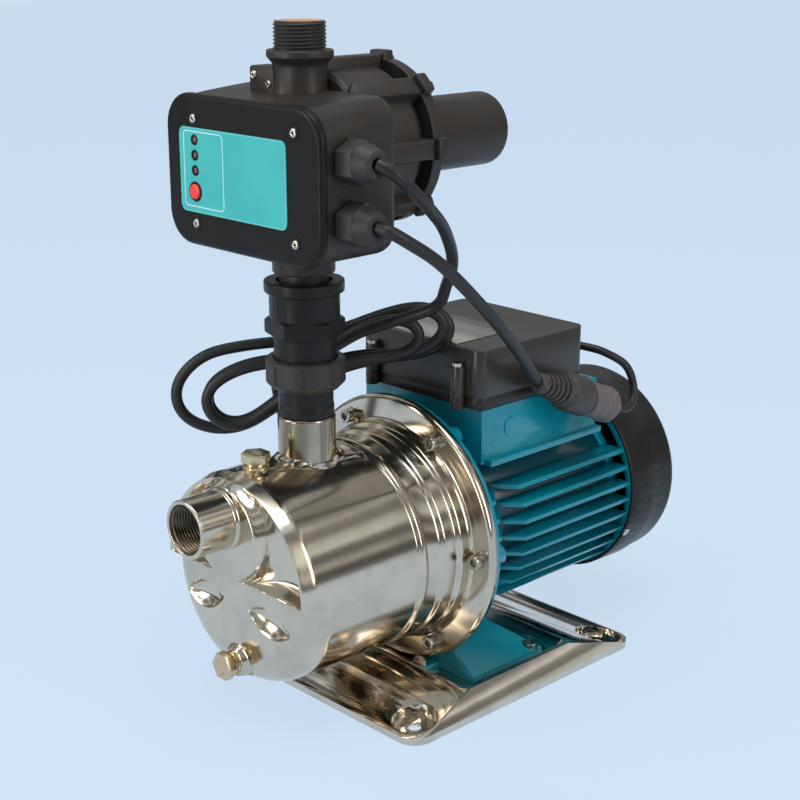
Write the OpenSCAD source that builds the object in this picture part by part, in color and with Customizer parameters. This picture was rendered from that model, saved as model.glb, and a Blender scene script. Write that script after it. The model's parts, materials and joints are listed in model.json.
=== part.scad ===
// Jet pump with a pressure controller standing on its outlet.
// The origin is on the floor, in the middle of the four foundation holes, with +Z up.
// The pump shaft runs along Y: the suction port looks towards -Y and the fan is at +Y.

/* [Base plate] */
// Width of the base plate, across the shaft
base_w = 218; // [200:1:270]
// Length of the base plate, along the shaft
base_l = 230; // [210:1:290]
// Height of the pressed ridge round the well
base_ridge_h = 15; // [12:0.5:20]
// Thickness of the pressed sheet
base_sheet = 1.5; // [1:0.1:2.5]
// Distance between foundation holes across the shaft
bolt_gap_x = 178; // [160:1:186]
// Distance between foundation holes along the shaft
bolt_gap_y = 190; // [170:1:198]
// Diameter of a foundation hole
bolt_hole_d = 9; // [7:0.5:11]
// Width of the motor foot
foot_w = 152; // [120:1:160]
// Length of the motor foot
foot_l = 72; // [60:1:76]

/* [Pump] */
// Gap between the casing flange and the floor
flange_gap = 5.5; // [4:0.5:20]
// Front face of the casing flange, along the shaft
flange_y = -31; // [-36:1:-26]
// Outer radius of the drawn casing
casing_r = 74; // [66:1:80]
// Length of the casing, from its front face to the flange face
casing_len = 143; // [138:1:175]
// Thickness of the casing sheet
casing_sheet = 1.5; // [1:0.1:2]
// Width of the flange outside the casing
flange_w = 23.5; // [21:0.5:26]
// Distance from the flange's edge in to its bolt circle
flange_bolt_inset = 11; // [10:0.5:12]
// Number of flange bolts
flange_bolts_n = 6; // [4:1:8]
// Distance from the casing's side in to the suction axis
suction_inset = 26.6; // [25:0.2:32]
// Width of the raised pad round the suction port, outside the port
pad_w = 15; // [12:0.5:18]
// Height of that pad in front of the casing
pad_h = 8; // [5:0.5:10]
// Depth of the hollows beside that pad
valley_depth = 14; // [8:0.5:16]
// Outer diameter of the two threaded ports
port_d = 39; // [37:0.5:42]
// Diameter of the thread crests in a port
port_bore_d = 30.3; // [28:0.1:32]
// Length of the suction port in front of the casing
suction_len = 39; // [25:1:50]
// Distance from the flange face forward to the discharge axis
discharge_back = 79; // [70:1:90]
// Height of the discharge port above the top of the casing
discharge_rise = 29; // [24:1:40]
// Radius of the impeller
impeller_r = 50; // [42:1:54]
// Width of the impeller, over its shrouds
impeller_w = 14; // [12:0.5:16]
// Number of impeller vanes
impeller_vanes = 6; // [5:1:8]
// Radius of the venturi throat
throat_r = 6; // [4:0.5:8]
// Width across the flats of the priming and drain plugs
plug_flats = 17; // [14:1:18]

/* [Motor] */
// Radius of the motor housing at the root of its fins
housing_r = 60; // [58:0.5:62]
// Reach of the longest fins beyond that root
fin_reach = 15; // [12:0.5:15.5]
// Pitch of the cooling fins
fin_pitch = 12.4; // [10:0.1:14]
// Thickness of a cooling fin
fin_t = 2.8; // [2:0.1:4]
// Depth of the front bracket, behind the flange face
bracket_len = 45; // [42:1:50]
// Length of the finned housing
housing_len = 132; // [128:1:150]
// Diameter of the shaft in its bearings
shaft_d = 14; // [12:0.5:15]
// Radius of the rotor core
rotor_r = 30; // [26:0.5:32]
// Length of the stator core
stator_len = 62; // [50:1:66]
// Radius of the cooling fan
fan_r = 62; // [52:1:68]
// Number of fan blades
fan_blades = 8; // [5:1:10]
// Gap from the fins' tips out to the fan cover's side
cover_lap = 3; // [2.5:0.5:7]
// Length of the fan cover
cover_len = 57; // [54:1:70]

/* [Terminal box] */
// Width of the terminal box
box_w = 120; // [110:1:130]
// Length of the terminal box
box_l = 111; // [104:1:118]
// Height of the motor's terminal platform above the housing
platform_h = 34; // [32:1:40]
// Height of the box base
box_base_h = 8; // [6:0.5:12]
// Height of the lid
box_lid_h = 34; // [26:1:38]
// Wall of the box and its lid
box_wall = 2.5; // [2:0.5:4]
// Radius of the run capacitor
capacitor_r = 14; // [10:0.5:14]

/* [Union] */
// Reach of the union nut's ribs outside the discharge port
union_nut_w = 7.5; // [6.5:0.5:10]
// Height of the union nut
union_nut_h = 18; // [17:0.5:24]
// Width across the corners of the hexagon
union_hex = 53; // [50:0.5:56]
// Height of the sleeve above the hexagon
sleeve_h = 20.5; // [16:0.5:26]
// Radius of the water way
water_r = 12.5; // [9:0.5:13]

/* [Controller] */
// Width of the controller's front cover
face_w = 152; // [146:1:170]
// Height of the front cover
face_h = 97; // [90:1:110]
// Corner radius of the front cover
face_corner = 22; // [14:1:26]
// Thickness of the front cover
face_t = 6; // [5:0.5:8]
// Distance from the water axis forward to the cover's front face
face_front = 50; // [48:1:56]
// Radius of the pressure chamber behind the box
chamber_r = 50; // [46:1:52]
// Radius of the clamp ring
ring_r = 54; // [53:0.5:56]
// Radius over the lugs of the clamp ring
lug_r = 59; // [58:0.5:62]
// Number of lugs round the clamp ring
lugs_n = 8; // [6:1:8]
// Radius of the spring housing at the rear
spring_housing_r = 25.5; // [24:0.5:30]
// Radius of the male outlet thread
outlet_r = 16.6; // [16:0.1:18]
// Height of the male outlet thread
outlet_h = 18; // [12:0.2:20]
// Diameter of the reset button
button_d = 10; // [8:0.5:10.5]
// Travel of the reset button
button_travel = 1.5; // [1:0.1:1.8]
// Lift of the check valve
valve_lift = 6; // [4:0.5:7]
// Travel of the pressure piston
piston_travel = 4; // [2:0.5:5]

/* [Cords] */
// Diameter of the two rubber cords
cord_d = 8; // [7:0.5:8.5]
// Diameter of the motor's short lead
lead_d = 6; // [5:0.5:6.5]

/* [Fits] */
// Clearance between fitted pieces that do not move
fit = 0.15; // [0.1:0.05:0.2]
// Radial clearance of a running fit
run = 0.05; // [0.02:0.01:0.1]

/* [Hidden] */
$fn = 72;
// Overshoot of a cutting body past the face it cuts
over = 1;
// Facets of the small bodies inside a hull
hull_fn = 32;

// Colours of the finishes
steel = [0.72, 0.70, 0.66];
teal = [0.0, 0.45, 0.52];
black = [0.16, 0.16, 0.17];
brass = [0.78, 0.62, 0.36];
turquoise = [0.22, 0.70, 0.68];
copper = [0.72, 0.42, 0.24];

// Radii that follow from the sizes above
flange_r = casing_r + flange_w;
flange_bolt_r = flange_r - flange_bolt_inset;
fin_tip_r = housing_r + fin_reach;
cover_r = fin_tip_r + cover_lap;
union_nut_r = port_d / 2 + union_nut_w;

// Places along the shaft
shaft_z = flange_r + flange_gap;
casing_front = flange_y - casing_len;
discharge_y = flange_y - discharge_back;
suction_z = shaft_z + casing_r - suction_inset;
plate_y = flange_y + casing_sheet;
bracket_face = plate_y + casing_sheet;
bracket_end = flange_y + bracket_len;
housing_end = bracket_end + housing_len;
cover_end = housing_end + cover_len;
impeller_back = plate_y - 12;
impeller_front = impeller_back - impeller_w;
diffuser_front = impeller_front - 8;
ejector_front = casing_front + 8.5;
bearing_r = 17.5;
bearing_w = 12;
seal_r = 19;

// Places up the water way
casing_top = shaft_z + casing_r;
boss_top = casing_top + discharge_rise;
nut_z = boss_top + 19;
nut_top = nut_z + union_nut_h;
hex_z = nut_top + 17.5;
hex_h = 10.5;
sleeve_z = hex_z + hex_h;
collar_z = sleeve_z + sleeve_h;
collar_h = 6;
inlet_z = collar_z + 4.5;
body_z = collar_z + 28;
face_z = body_z + face_h / 2;
body_top = body_z + face_h;
outlet_collar_z = body_top + 22.6;
outlet_z = outlet_collar_z + 4.4;
outlet_top = outlet_z + outlet_h;
chamber_z = face_z + 13;

// Places on the controller
face_y = discharge_y - face_front;
body_y = face_y + face_t;
body_back = discharge_y - 1;
ring_y = discharge_y + 64.5;
ring_t = 9.5;
ring_back = ring_y + ring_t;
housing_back = discharge_y + 171;
gland_x = face_w / 2;
gland_y = discharge_y - 27;
gland_pitch = 37;
gland_z = face_z - 1.7;
button_x = -face_w / 2 + 30.5;
button_z = face_z - 13.1;
light_x = -face_w / 2 + 31;
light_z = face_z + 0.4;
light_pitch = 9.7;

// Places on the terminal box
platform_rise = housing_r + platform_h;
platform_z = shaft_z + platform_rise;
gasket_t = 1;
box_z = platform_z + gasket_t;
lid_z = box_z + box_base_h;
lid_top = lid_z + box_lid_h;
box_front = bracket_end - 20;
box_back = box_front + box_l;

// Bodies of revolution and straight bars along the three axes
module turned(y = 0, z = shaft_z, x = 0) {
    translate([x, y, z]) rotate([-90, 0, 0]) rotate_extrude() children();
}
module rod(y0, y1, r, z = shaft_z, x = 0) {
    translate([x, y0, z]) rotate([-90, 0, 0]) cylinder(r = r, h = y1 - y0);
}
module tube(y0, y1, r_out, r_in, z = shaft_z, x = 0) {
    difference() {
        rod(y0, y1, r_out, z, x);
        rod(y0 - over, y1 + over, r_in, z, x);
    }
}
module post(z0, z1, r, x = 0, y = 0) {
    translate([x, y, z0]) cylinder(r = r, h = z1 - z0);
}
module pipe(z0, z1, r_out, r_in, x = 0, y = 0) {
    difference() {
        post(z0, z1, r_out, x, y);
        post(z0 - over, z1 + over, r_in, x, y);
    }
}
module side_rod(x0, x1, r, y, z) {
    translate([x0, y, z]) rotate([0, 90, 0]) cylinder(r = r, h = x1 - x0);
}
// A block between two corners
module block(low, high) {
    translate(low) cube(high - low);
}
// A rounded block of width w and depth d standing on z = 0
module slab(w, d, r, h) {
    translate([-w / 2 + r, -d / 2, 0]) cube([w - 2 * r, d, h]);
    translate([-w / 2, -d / 2 + r, 0]) cube([w, d - 2 * r, h]);
    for (sx = [-1, 1], sy = [-1, 1])
        translate([sx * (w / 2 - r), sy * (d / 2 - r), 0]) cylinder(r = r, h = h);
}
// The same block, lying between two places along the shaft
module slab_y(y0, y1, w, h, r, z) {
    translate([0, y1, z]) rotate([90, 0, 0]) slab(w, h, r, y1 - y0);
}
// A cap screw along +Z: its head sits on z = 0 and points down
module cap_screw(d, len, head_d, head_h, socket) {
    difference() {
        translate([0, 0, -head_h]) cylinder(d = head_d, h = head_h);
        translate([0, 0, -head_h - over]) cylinder(d = socket, h = head_h * 0.6 + over, $fn = 6);
    }
    cylinder(d = d, h = len);
}
// Copies turned about an axis parallel to the shaft
module around(n, z = shaft_z, start = 0) {
    for (i = [0:n - 1])
        translate([0, 0, z]) rotate([0, -start - i * 360 / n, 0]) translate([0, 0, -z]) children();
}
// Points of an arc about (cx, cy)
function arc(cx, cy, r, from, to, steps) =
    [for (i = [0:steps]) let (a = from + (to - from) * i / steps) [cx + r * cos(a), cy + r * sin(a)]];

// Base plate: one pressed sheet with a ridge, a well for the motor foot and four flat corner pads
ridge_w = base_w - 30;
ridge_l = base_l * 0.5;
ridge_shift = 5;
well_floor = 4.5;
rim_h = 5;
pad_r = 16;
module base_skin(grow) {
    hull() {
        for (sx = [-1, 1], sy = [-1, 1]) {
            translate([sx * (base_w / 2 - 14), sy * (base_l / 2 - 14), -over * (grow < 0 ? 1 : 0)])
                cylinder(r = 14 + grow, h = rim_h + grow + over * (grow < 0 ? 1 : 0), $fn = hull_fn);
            translate([sx * (ridge_w / 2 - 6), ridge_shift + sy * (ridge_l / 2 - 6), 0])
                cylinder(r = 6 + grow, h = base_ridge_h + grow, $fn = hull_fn);
        }
    }
}
module base_well(grow) {
    hull() {
        for (sx = [-1, 1], sy = [-1, 1]) {
            translate([sx * (ridge_w / 2 - 15), ridge_shift + sy * (ridge_l / 2 - 11), well_floor - grow])
                cylinder(r = 3 + grow, h = over, $fn = hull_fn);
            translate([sx * (ridge_w / 2 - 9), ridge_shift + sy * (ridge_l / 2 - 9), base_ridge_h])
                cylinder(r = 5 + grow, h = over, $fn = hull_fn);
        }
    }
}
module at_bolts() {
    for (sx = [-1, 1], sy = [-1, 1]) translate([sx * bolt_gap_x / 2, sy * bolt_gap_y / 2, 0]) children();
}
foot_front = flange_y + 7;
foot_tab_x = 34;
foot_tab_l = 19;
foot_screw_places = [
    for (s = [-1, 1]) [s * foot_tab_x, foot_front - foot_tab_l + 7],
    for (s = [-1, 1]) [s * (foot_w / 2 - 6), foot_front + foot_l - 7],
    for (s = [-1, 1]) [s * 36, foot_front + foot_l - 14]
];
foot_screw_d = 6;
module base_plate() {
    color(steel)
    difference() {
        base_skin(0);
        difference() {
            base_skin(-base_sheet);
            base_well(base_sheet);
            at_bolts() translate([0, 0, -over]) cylinder(r = pad_r + base_sheet, h = base_ridge_h + 2 * over);
        }
        base_well(0);
        at_bolts() translate([0, 0, base_sheet]) cylinder(r = pad_r, h = base_ridge_h);
        at_bolts() translate([0, 0, -over]) cylinder(d = bolt_hole_d, h = base_ridge_h);
        for (p = foot_screw_places)
            translate([p[0], p[1], -over]) cylinder(d = foot_screw_d + 2 * fit, h = base_ridge_h);
    }
}
foot_t = 4;
foot_top = well_floor + foot_t;
module foot_screws() {
    color(steel)
    for (p = foot_screw_places)
        translate([p[0], p[1], foot_top]) {
            cylinder(d = 11, h = 4, $fn = 6);
            translate([0, 0, -foot_top + 2]) cylinder(d = foot_screw_d, h = foot_top - 2);
        }
}

// Front bracket of the motor: flange, bearing seat and foot in one casting
bracket_flange_t = 8;
bracket_drum_y = bracket_face + bracket_flange_t;
front_bearing_y = bracket_drum_y + 14;
module foot_block() {
    hull() {
        translate([-foot_w / 2, foot_front, well_floor]) cube([foot_w, foot_l, foot_t]);
        translate([-34, foot_front + 4, well_floor]) cube([68, 34, shaft_z - housing_r - 13]);
    }
    block([-34, bracket_drum_y - 4, foot_top], [34, bracket_end, shaft_z - 20]);
    for (s = [-1, 1])
        translate([s * foot_tab_x - 7, foot_front - foot_tab_l, well_floor])
            cube([14, foot_tab_l + 4, foot_t]);
}
fin_low = -4;
fin_high = 3;
module fin_rows(y0, y1, reach) {
    for (k = [fin_low:fin_high])
        translate([-reach, y0, shaft_z - 4.1 + k * fin_pitch - fin_t / 2]) cube([2 * reach, y1 - y0, fin_t]);
}
rib_r = flange_bolt_r - 2.5;
module motor_bracket() {
    color(teal)
    difference() {
        union() {
            rod(bracket_face, bracket_drum_y, flange_r - 2.2);
            rod(bracket_drum_y, bracket_end, housing_r);
            intersection() {
                turned() polygon([[0, bracket_drum_y], [rib_r, bracket_drum_y], [rib_r, bracket_drum_y + 14],
                    [fin_tip_r - 5, bracket_end - 5], [0, bracket_end - 5]]);
                fin_rows(bracket_drum_y - over, bracket_end, rib_r + over);
            }
            foot_block();
            around(flange_bolts_n, start = 90)
                rod(bracket_face, bracket_drum_y + 8, 7, shaft_z + flange_bolt_r);
        }
        tube(bracket_drum_y + 2, bracket_end + over, housing_r - 6, bearing_r + 9);
        rod(front_bearing_y, bracket_end + over, bearing_r + fit);
        rod(bracket_face - over, bracket_drum_y + 10, seal_r + 2);
        rod(bracket_face - over, bracket_end, shaft_d / 2 + 2);
        around(flange_bolts_n, start = 90)
            rod(bracket_face - over, bracket_drum_y + 6, 3 + fit, shaft_z + flange_bolt_r);
        for (p = foot_screw_places)
            translate([p[0], p[1], well_floor - over])
                cylinder(d = foot_screw_d + 2 * fit, h = foot_t + over);
        for (p = foot_screw_places)
            translate([p[0], p[1], foot_top]) cylinder(d = 13, h = p[1] < foot_front ? 6 : 60);
    }
}

// Pump casing: a pressed shell, which is its outer form less the same form moved in by the sheet
front_corner = 22;
plug_d = 10;
plug_boss_r = plug_flats / 2 + 1.5;
priming_y = casing_front + 20;
drain_z = shaft_z - casing_r + 17;
port_pad_r = port_d / 2 + pad_w;
pad_z = suction_z - pad_w + 4.1;
valley_z = pad_z - port_pad_r + 1;
// Points of a line moved sideways by t, to the left of its direction
function moved(line, t) = [for (i = [0:len(line) - 1])
    let (d = line[min(i + 1, len(line) - 1)] - line[max(i - 1, 0)]) line[i] + t * [-d[1], d[0]] / norm(d)];
casing_line = concat(
    [[0, 0], [casing_r - front_corner, 0]],
    arc(casing_r - front_corner, front_corner, front_corner, -80, 0, 8),
    [[casing_r, casing_len - 45], [casing_r + 2, casing_len - 43], [casing_r + 2, casing_len - 40],
     [casing_r, casing_len - 37.5], [casing_r, casing_len - 25], [casing_r + 2.5, casing_len - 22],
     [casing_r + 2.5, casing_len - 12], [casing_r + 5, casing_len - 9.5], [casing_r + 5, casing_len - 3],
     [casing_r + 6.2, casing_len], [flange_r - 4, casing_len]],
    arc(flange_r - 4, casing_len + 4, 4, -70, 0, 4),
    [[flange_r, casing_len + 6]]
);
// The sharp shoulder above the shaft, the pad round the suction port and the saddle of the two upper bosses
module shoulder(t) {
    intersection() {
        turned(casing_front) polygon([[20, t - 1], [casing_r - 3.5 - t, t - 1], [casing_r - 2.5 - t, t],
            [casing_r + 0.5 - t, 9], [casing_r + 0.5 - t, 26], [20, 28]]);
        block([-casing_r, casing_front - 2, valley_z - 4 + t],
            [casing_r, casing_front + 40, shaft_z + casing_r]);
    }
}
module port_pad(t) {
    turned(casing_front, pad_z) polygon([[0, t - pad_h], [port_pad_r - 3 - t, t - pad_h],
        [port_pad_r - 1 - t, t - pad_h + 0.8], [port_pad_r - t, t - pad_h + 3], [port_pad_r - t, 12],
        [0, 12]]);
}
module saddle(t) {
    intersection() {
        rod(casing_front + 14, casing_front + casing_len - 44, casing_r + 1.2 - t);
        block([t - 15, casing_front, shaft_z], [15 - t, discharge_y + 50, shaft_z + 2 * casing_r]);
    }
}
// The two hollows between pad and shoulder: outside the pad, inside the shoulder and above the shaft
module valleys(t) {
    d = valley_depth;
    far = 2 * casing_r;
    beside_pad = [[0, -pad_h - 4], [0.5, -3], [2.5, d * 0.25], [6.5, d * 0.52], [13, d * 0.78],
        [21, d * 0.94], [30, d]];
    inside_shoulder = [[7, -2], [8, d * 0.3], [11, d * 0.65], [16, d * 0.9], [24, d + 0.6]];
    above_shaft = [[-2, 0], [d * 0.2, 1.5], [d * 0.5, 5], [d * 0.8, 11], [d, 20]];
    intersection() {
        turned(casing_front, pad_z) polygon(concat(
            moved(concat([for (p = beside_pad) [port_pad_r + p[0], p[1]]], [[far, d + 0.5]]), t),
            [[far, -20], [port_pad_r, -20]]));
        turned(casing_front) polygon(concat([[0, -20], [casing_r - 7 + t, -20]],
            moved([for (p = inside_shoulder) [casing_r - p[0], p[1]]], -t), [[0, d + 4]]));
        translate([-casing_r, casing_front, valley_z]) rotate([90, 0, 90]) linear_extrude(far)
            polygon(concat([[-20, far], [-20, -t]], moved(above_shaft, -t), [[d + 8, far]]));
    }
}
// The pair of lens-shaped dents in the lower half
dent_l = 42;
dent_depth = 6.5;
module dents(t) {
    half = dent_l / 2 + t;
    rise = dent_depth + t;
    r = (half * half + rise * rise) / (2 * rise);
    for (s = [-1, 1])
        translate([s * 34, casing_front + 0.5, shaft_z - 19]) rotate([0, s * 98, 0]) rotate_extrude()
            polygon(concat([[0, half]], [for (i = [1:9]) let (h = half * (1 - i / 5))
                [sqrt(r * r - h * h) - r + rise, h]], [[0, -half]]));
}
module casing_form(t, end) {
    last = len(casing_line) - 1;
    skin = t == 0 ? casing_line
        : concat([[0, t]], moved([for (i = [1:last - 1]) casing_line[i]], t),
            [[flange_r - t, casing_len + 6]]);
    difference() {
        union() {
            turned(casing_front) polygon(concat(skin, [[flange_r - t, end], [0, end]]));
            shoulder(t);
            port_pad(t);
            saddle(t);
        }
        valleys(t);
        dents(t);
    }
}
module pump_casing() {
    $fn = 48;
    color(steel)
    difference() {
        union() {
            difference() {
                casing_form(0, casing_len + 6);
                casing_form(casing_sheet, casing_len + 8);
            }
            post(casing_top - 6, plug_seat, plug_boss_r, 0, priming_y);
            rod(casing_front - 4, casing_front + 4, plug_boss_r, drain_z);
        }
        rod(casing_front - 20, ejector_front - 0.5, port_d / 2 + fit, suction_z);
        post(shaft_z + 40, boss_top, port_d / 2 + fit, 0, discharge_y);
        post(casing_top - 12, boss_top, plug_d / 2 + fit, 0, priming_y);
        rod(casing_front - 20, casing_front + 8, plug_d / 2 + fit, drain_z);
        around(flange_bolts_n, start = 90)
            rod(flange_y - over, plate_y + over, 3 + fit, shaft_z + flange_bolt_r);
    }
}
module suction_port() {
    y0 = casing_front - suction_len;
    color(steel)
    difference() {
        union() {
            rod(y0, ejector_front - 1, port_d / 2, suction_z);
            rod(casing_front - pad_h - 4, casing_front - pad_h, port_d / 2 + 1.2, suction_z);
        }
        rod(y0 - over, ejector_front, port_bore_d / 2, suction_z);
    }
}
module discharge_port() {
    color(steel) pipe(shaft_z + casing_r - 9, boss_top, port_d / 2, outlet_r + 0.1, 0, discharge_y);
}
ring_seat = 1.6;
ring_wire_r = 1.4;
// The ring between the casing and its back plate, and the one between the union's two faces
module o_rings() {
    color(black) {
        turned(plate_y - ring_seat) translate([casing_r + 1.8 - casing_sheet, 0])
            circle(r = ring_wire_r, $fn = 24);
        translate([0, discharge_y, 0]) rotate_extrude() translate([water_r + 4, nut_z + 13]) difference() {
            circle(r = ring_wire_r, $fn = 24);
            translate([-3, 0.2]) square([6, 3]);
        }
    }
}
module casing_back_plate() {
    color(steel)
    difference() {
        rod(plate_y, bracket_face, flange_r - 4.2);
        rod(plate_y - over, bracket_face + over, seal_r + fit);
        around(flange_bolts_n, start = 90)
            rod(plate_y - over, bracket_face + over, 3 + fit, shaft_z + flange_bolt_r);
    }
}
washer_t = 1.4;
module flange_bolts() {
    color(steel)
    around(flange_bolts_n, start = 90)
        translate([0, flange_y - washer_t, shaft_z + flange_bolt_r]) rotate([-90, 0, 0])
            cap_screw(6, washer_t + bracket_drum_y - flange_y + 4, 10, 6, 5.8);
}
module flange_washers() {
    color(steel)
    around(flange_bolts_n, start = 90)
        tube(flange_y - washer_t, flange_y, 6, 3 + fit, shaft_z + flange_bolt_r);
}

// Ejector: the suction water joins the jet in a chamber below the suction port
chamber_len = 24;
module ejector_body() {
    y1 = ejector_front + chamber_len;
    color(black)
    difference() {
        union() {
            rod(ejector_front, y1, 25);
            rod(ejector_front, y1, 17.5, suction_z);
            block([-17.5, ejector_front, shaft_z], [17.5, y1, suction_z]);
        }
        rod(ejector_front + 3, y1 - 3, 21);
        rod(ejector_front - over, y1 - 3, 14, suction_z);
        block([-12, ejector_front + 4, shaft_z], [12, y1 - 4, suction_z]);
        rod(ejector_front - over, ejector_front + 4, 8 + fit);
        rod(y1 - 4, y1 + over, 12);
    }
}
module jet_nozzle() {
    color(brass)
    turned(ejector_front) difference() {
        polygon([[0, -3], [8, -3], [8, 3], [10, 3], [10, 6], [5.5, 20], [0, 20]]);
        polygon([[0, -4], [6, -4], [6, 4], [3, 21], [0, 21]]);
    }
}
module venturi_tube() {
    y0 = ejector_front + chamber_len;
    len = diffuser_front - y0;
    color(black)
    turned(y0) difference() {
        polygon([[0, 0], [15, 0], [15, 12], [throat_r + 4, 16], [throat_r + 4, 26], [18, len - 4],
            [26, len - 4], [26, len], [0, len]]);
        polygon([[0, -over], [11, -over], [throat_r, 12], [throat_r, 26], [15, len + over], [0, len + over]]);
    }
}
diffuser_r = casing_r - casing_sheet - 2.5;
vane_turn = 70;
// Points of one curved vane between two radii, t thick, sweeping back by turn degrees
function vane(r0, r1, t, turn, steps = 7) = concat(
    [for (i = [0:steps]) let (f = i / steps, r = r0 + (r1 - r0) * f, a = -turn * pow(f, 0.8))
        [r * cos(a), r * sin(a)]],
    [for (i = [steps:-1:0])
        let (f = i / steps, r = r0 + (r1 - r0) * f, a = -turn * pow(f, 0.8) + t / r * 57.3)
        [r * cos(a), r * sin(a)]]
);
module vane_ring(n, y0, y1, r0, r1, t, turn) {
    for (i = [0:n - 1])
        translate([0, y1, shaft_z]) rotate([90, i * 360 / n, 0]) linear_extrude(y1 - y0)
            polygon(vane(r0, r1, t, turn));
}
module diffuser() {
    color(black) {
        difference() {
            rod(diffuser_front, impeller_back + 2, diffuser_r);
            rod(diffuser_front + 3, impeller_back + 3, diffuser_r - 2);
            rod(diffuser_front - over, diffuser_front + 4, 15.5);
        }
        tube(diffuser_front + 2, impeller_front - 1, 24.5, 21.4);
        vane_ring(7, diffuser_front + 2, impeller_back + 2, impeller_r + 3, diffuser_r - 1, 2.2, -46);
    }
}
hub_r = 11;
impeller_shaft_r = 6;
nut_bore_r = 4.5;
module impeller() {
    color(brass) {
        difference() {
            rod(impeller_back - 2, impeller_back, impeller_r);
            rod(impeller_back - 3, impeller_back + over, impeller_shaft_r);
        }
        tube(impeller_front + 4, impeller_back + 5, hub_r, impeller_shaft_r);
        tube(impeller_front, impeller_front + 1.8, impeller_r, 19);
        tube(impeller_front - 4.6, impeller_front + 1.8, 21, 19);
        vane_ring(impeller_vanes, impeller_front + 1, impeller_back - 1, 20, impeller_r - 0.5, 2.2,
            vane_turn);
    }
}
module impeller_nut() {
    color(brass) translate([0, impeller_front - 5, shaft_z]) rotate([-90, 0, 0]) difference() {
        cylinder(r = 9, h = 9, $fn = 6);
        translate([0, 0, 1.5]) cylinder(r = nut_bore_r, h = 9);
    }
}
seal_face = plate_y - 0.6;
module seal_rotor() {
    color(black) tube(impeller_back + 5, seal_face, 15, shaft_d / 2);
}
module seal_seat() {
    color([0.86, 0.84, 0.80]) tube(seal_face + 0.3, bracket_drum_y + 8, seal_r, shaft_d / 2 + 0.8);
}
module hex_plug(thread_len) {
    cylinder(d = plug_flats / cos(30), h = 6, $fn = 6);
    translate([0, 0, 6]) cylinder(r = plug_flats / 2 - 0.5, h = 2.5);
    translate([0, 0, 8.5]) cylinder(d = plug_d, h = thread_len);
}
plug_washer_t = 1.5;
plug_seat = casing_top + 1.6;
module priming_plug() {
    color(brass) translate([0, priming_y, plug_seat + plug_washer_t + 8.5]) rotate([180, 0, 0])
        hex_plug(8);
}
module drain_plug() {
    color(brass) translate([0, casing_front - 4 - plug_washer_t - 8.5, drain_z]) rotate([-90, 0, 0])
        hex_plug(10);
}
module plug_washers() {
    color(copper) {
        pipe(plug_seat, plug_seat + plug_washer_t, plug_flats / 2, plug_d / 2 + fit, 0, priming_y);
        tube(casing_front - 4 - plug_washer_t, casing_front - 4, plug_flats / 2, plug_d / 2 + fit, drain_z);
    }
}

// Motor
rotor_y = bracket_end + 12;
rear_bearing_y = housing_end - 16;
shaft_end = housing_end + 26;
fan_y = housing_end + 21;
module motor_shaft() {
    color(steel) {
        rod(impeller_front - 3, impeller_front + 4, nut_bore_r);
        rod(impeller_front + 4, impeller_back + 5, impeller_shaft_r);
        rod(impeller_back + 5, rotor_y - 6, shaft_d / 2);
        rod(rotor_y - 6, rotor_y + stator_len + 6, shaft_d / 2 + 3);
        rod(rotor_y + stator_len + 6, shaft_end, shaft_d / 2);
    }
}
module bearing(y0) {
    color(steel)
    difference() {
        tube(y0, y0 + bearing_w, bearing_r, shaft_d / 2 + run);
        tube(y0 - over, y0 + 1, bearing_r - 3, shaft_d / 2 + 3);
        tube(y0 + bearing_w - 1, y0 + bearing_w + over, bearing_r - 3, shaft_d / 2 + 3);
    }
}
module bearings() {
    bearing(front_bearing_y);
    bearing(rear_bearing_y);
}
module rotor_core() {
    color(steel) {
        tube(rotor_y, rotor_y + stator_len, rotor_r, shaft_d / 2 + 3);
        for (y = [rotor_y - 5, rotor_y + stator_len]) tube(y, y + 5, rotor_r - 2, rotor_r - 9);
    }
}
stator_r = housing_r - 5 - fit;
module stator_core() {
    color(steel)
    difference() {
        tube(rotor_y, rotor_y + stator_len, stator_r, rotor_r + 0.5);
        around(12) translate([-3, rotor_y - over, shaft_z + rotor_r + 3]) cube([6, stator_len + 2, 12]);
    }
}
module stator_windings() {
    color(copper) {
        tube(rotor_y - 9, rotor_y, rotor_r + 18, rotor_r + 2.5);
        tube(rotor_y + stator_len, rotor_y + stator_len + 9, rotor_r + 18, rotor_r + 2.5);
        around(12) translate([-2.7, rotor_y, shaft_z + rotor_r + 3.3]) cube([5.4, stator_len, 11.4]);
    }
}
wire_hole_y = bracket_end + 60;
wire_hole_r = 8;
ledge_w = 130;
platform_w = box_w - 2;
platform_l = box_l + 16;
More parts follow.
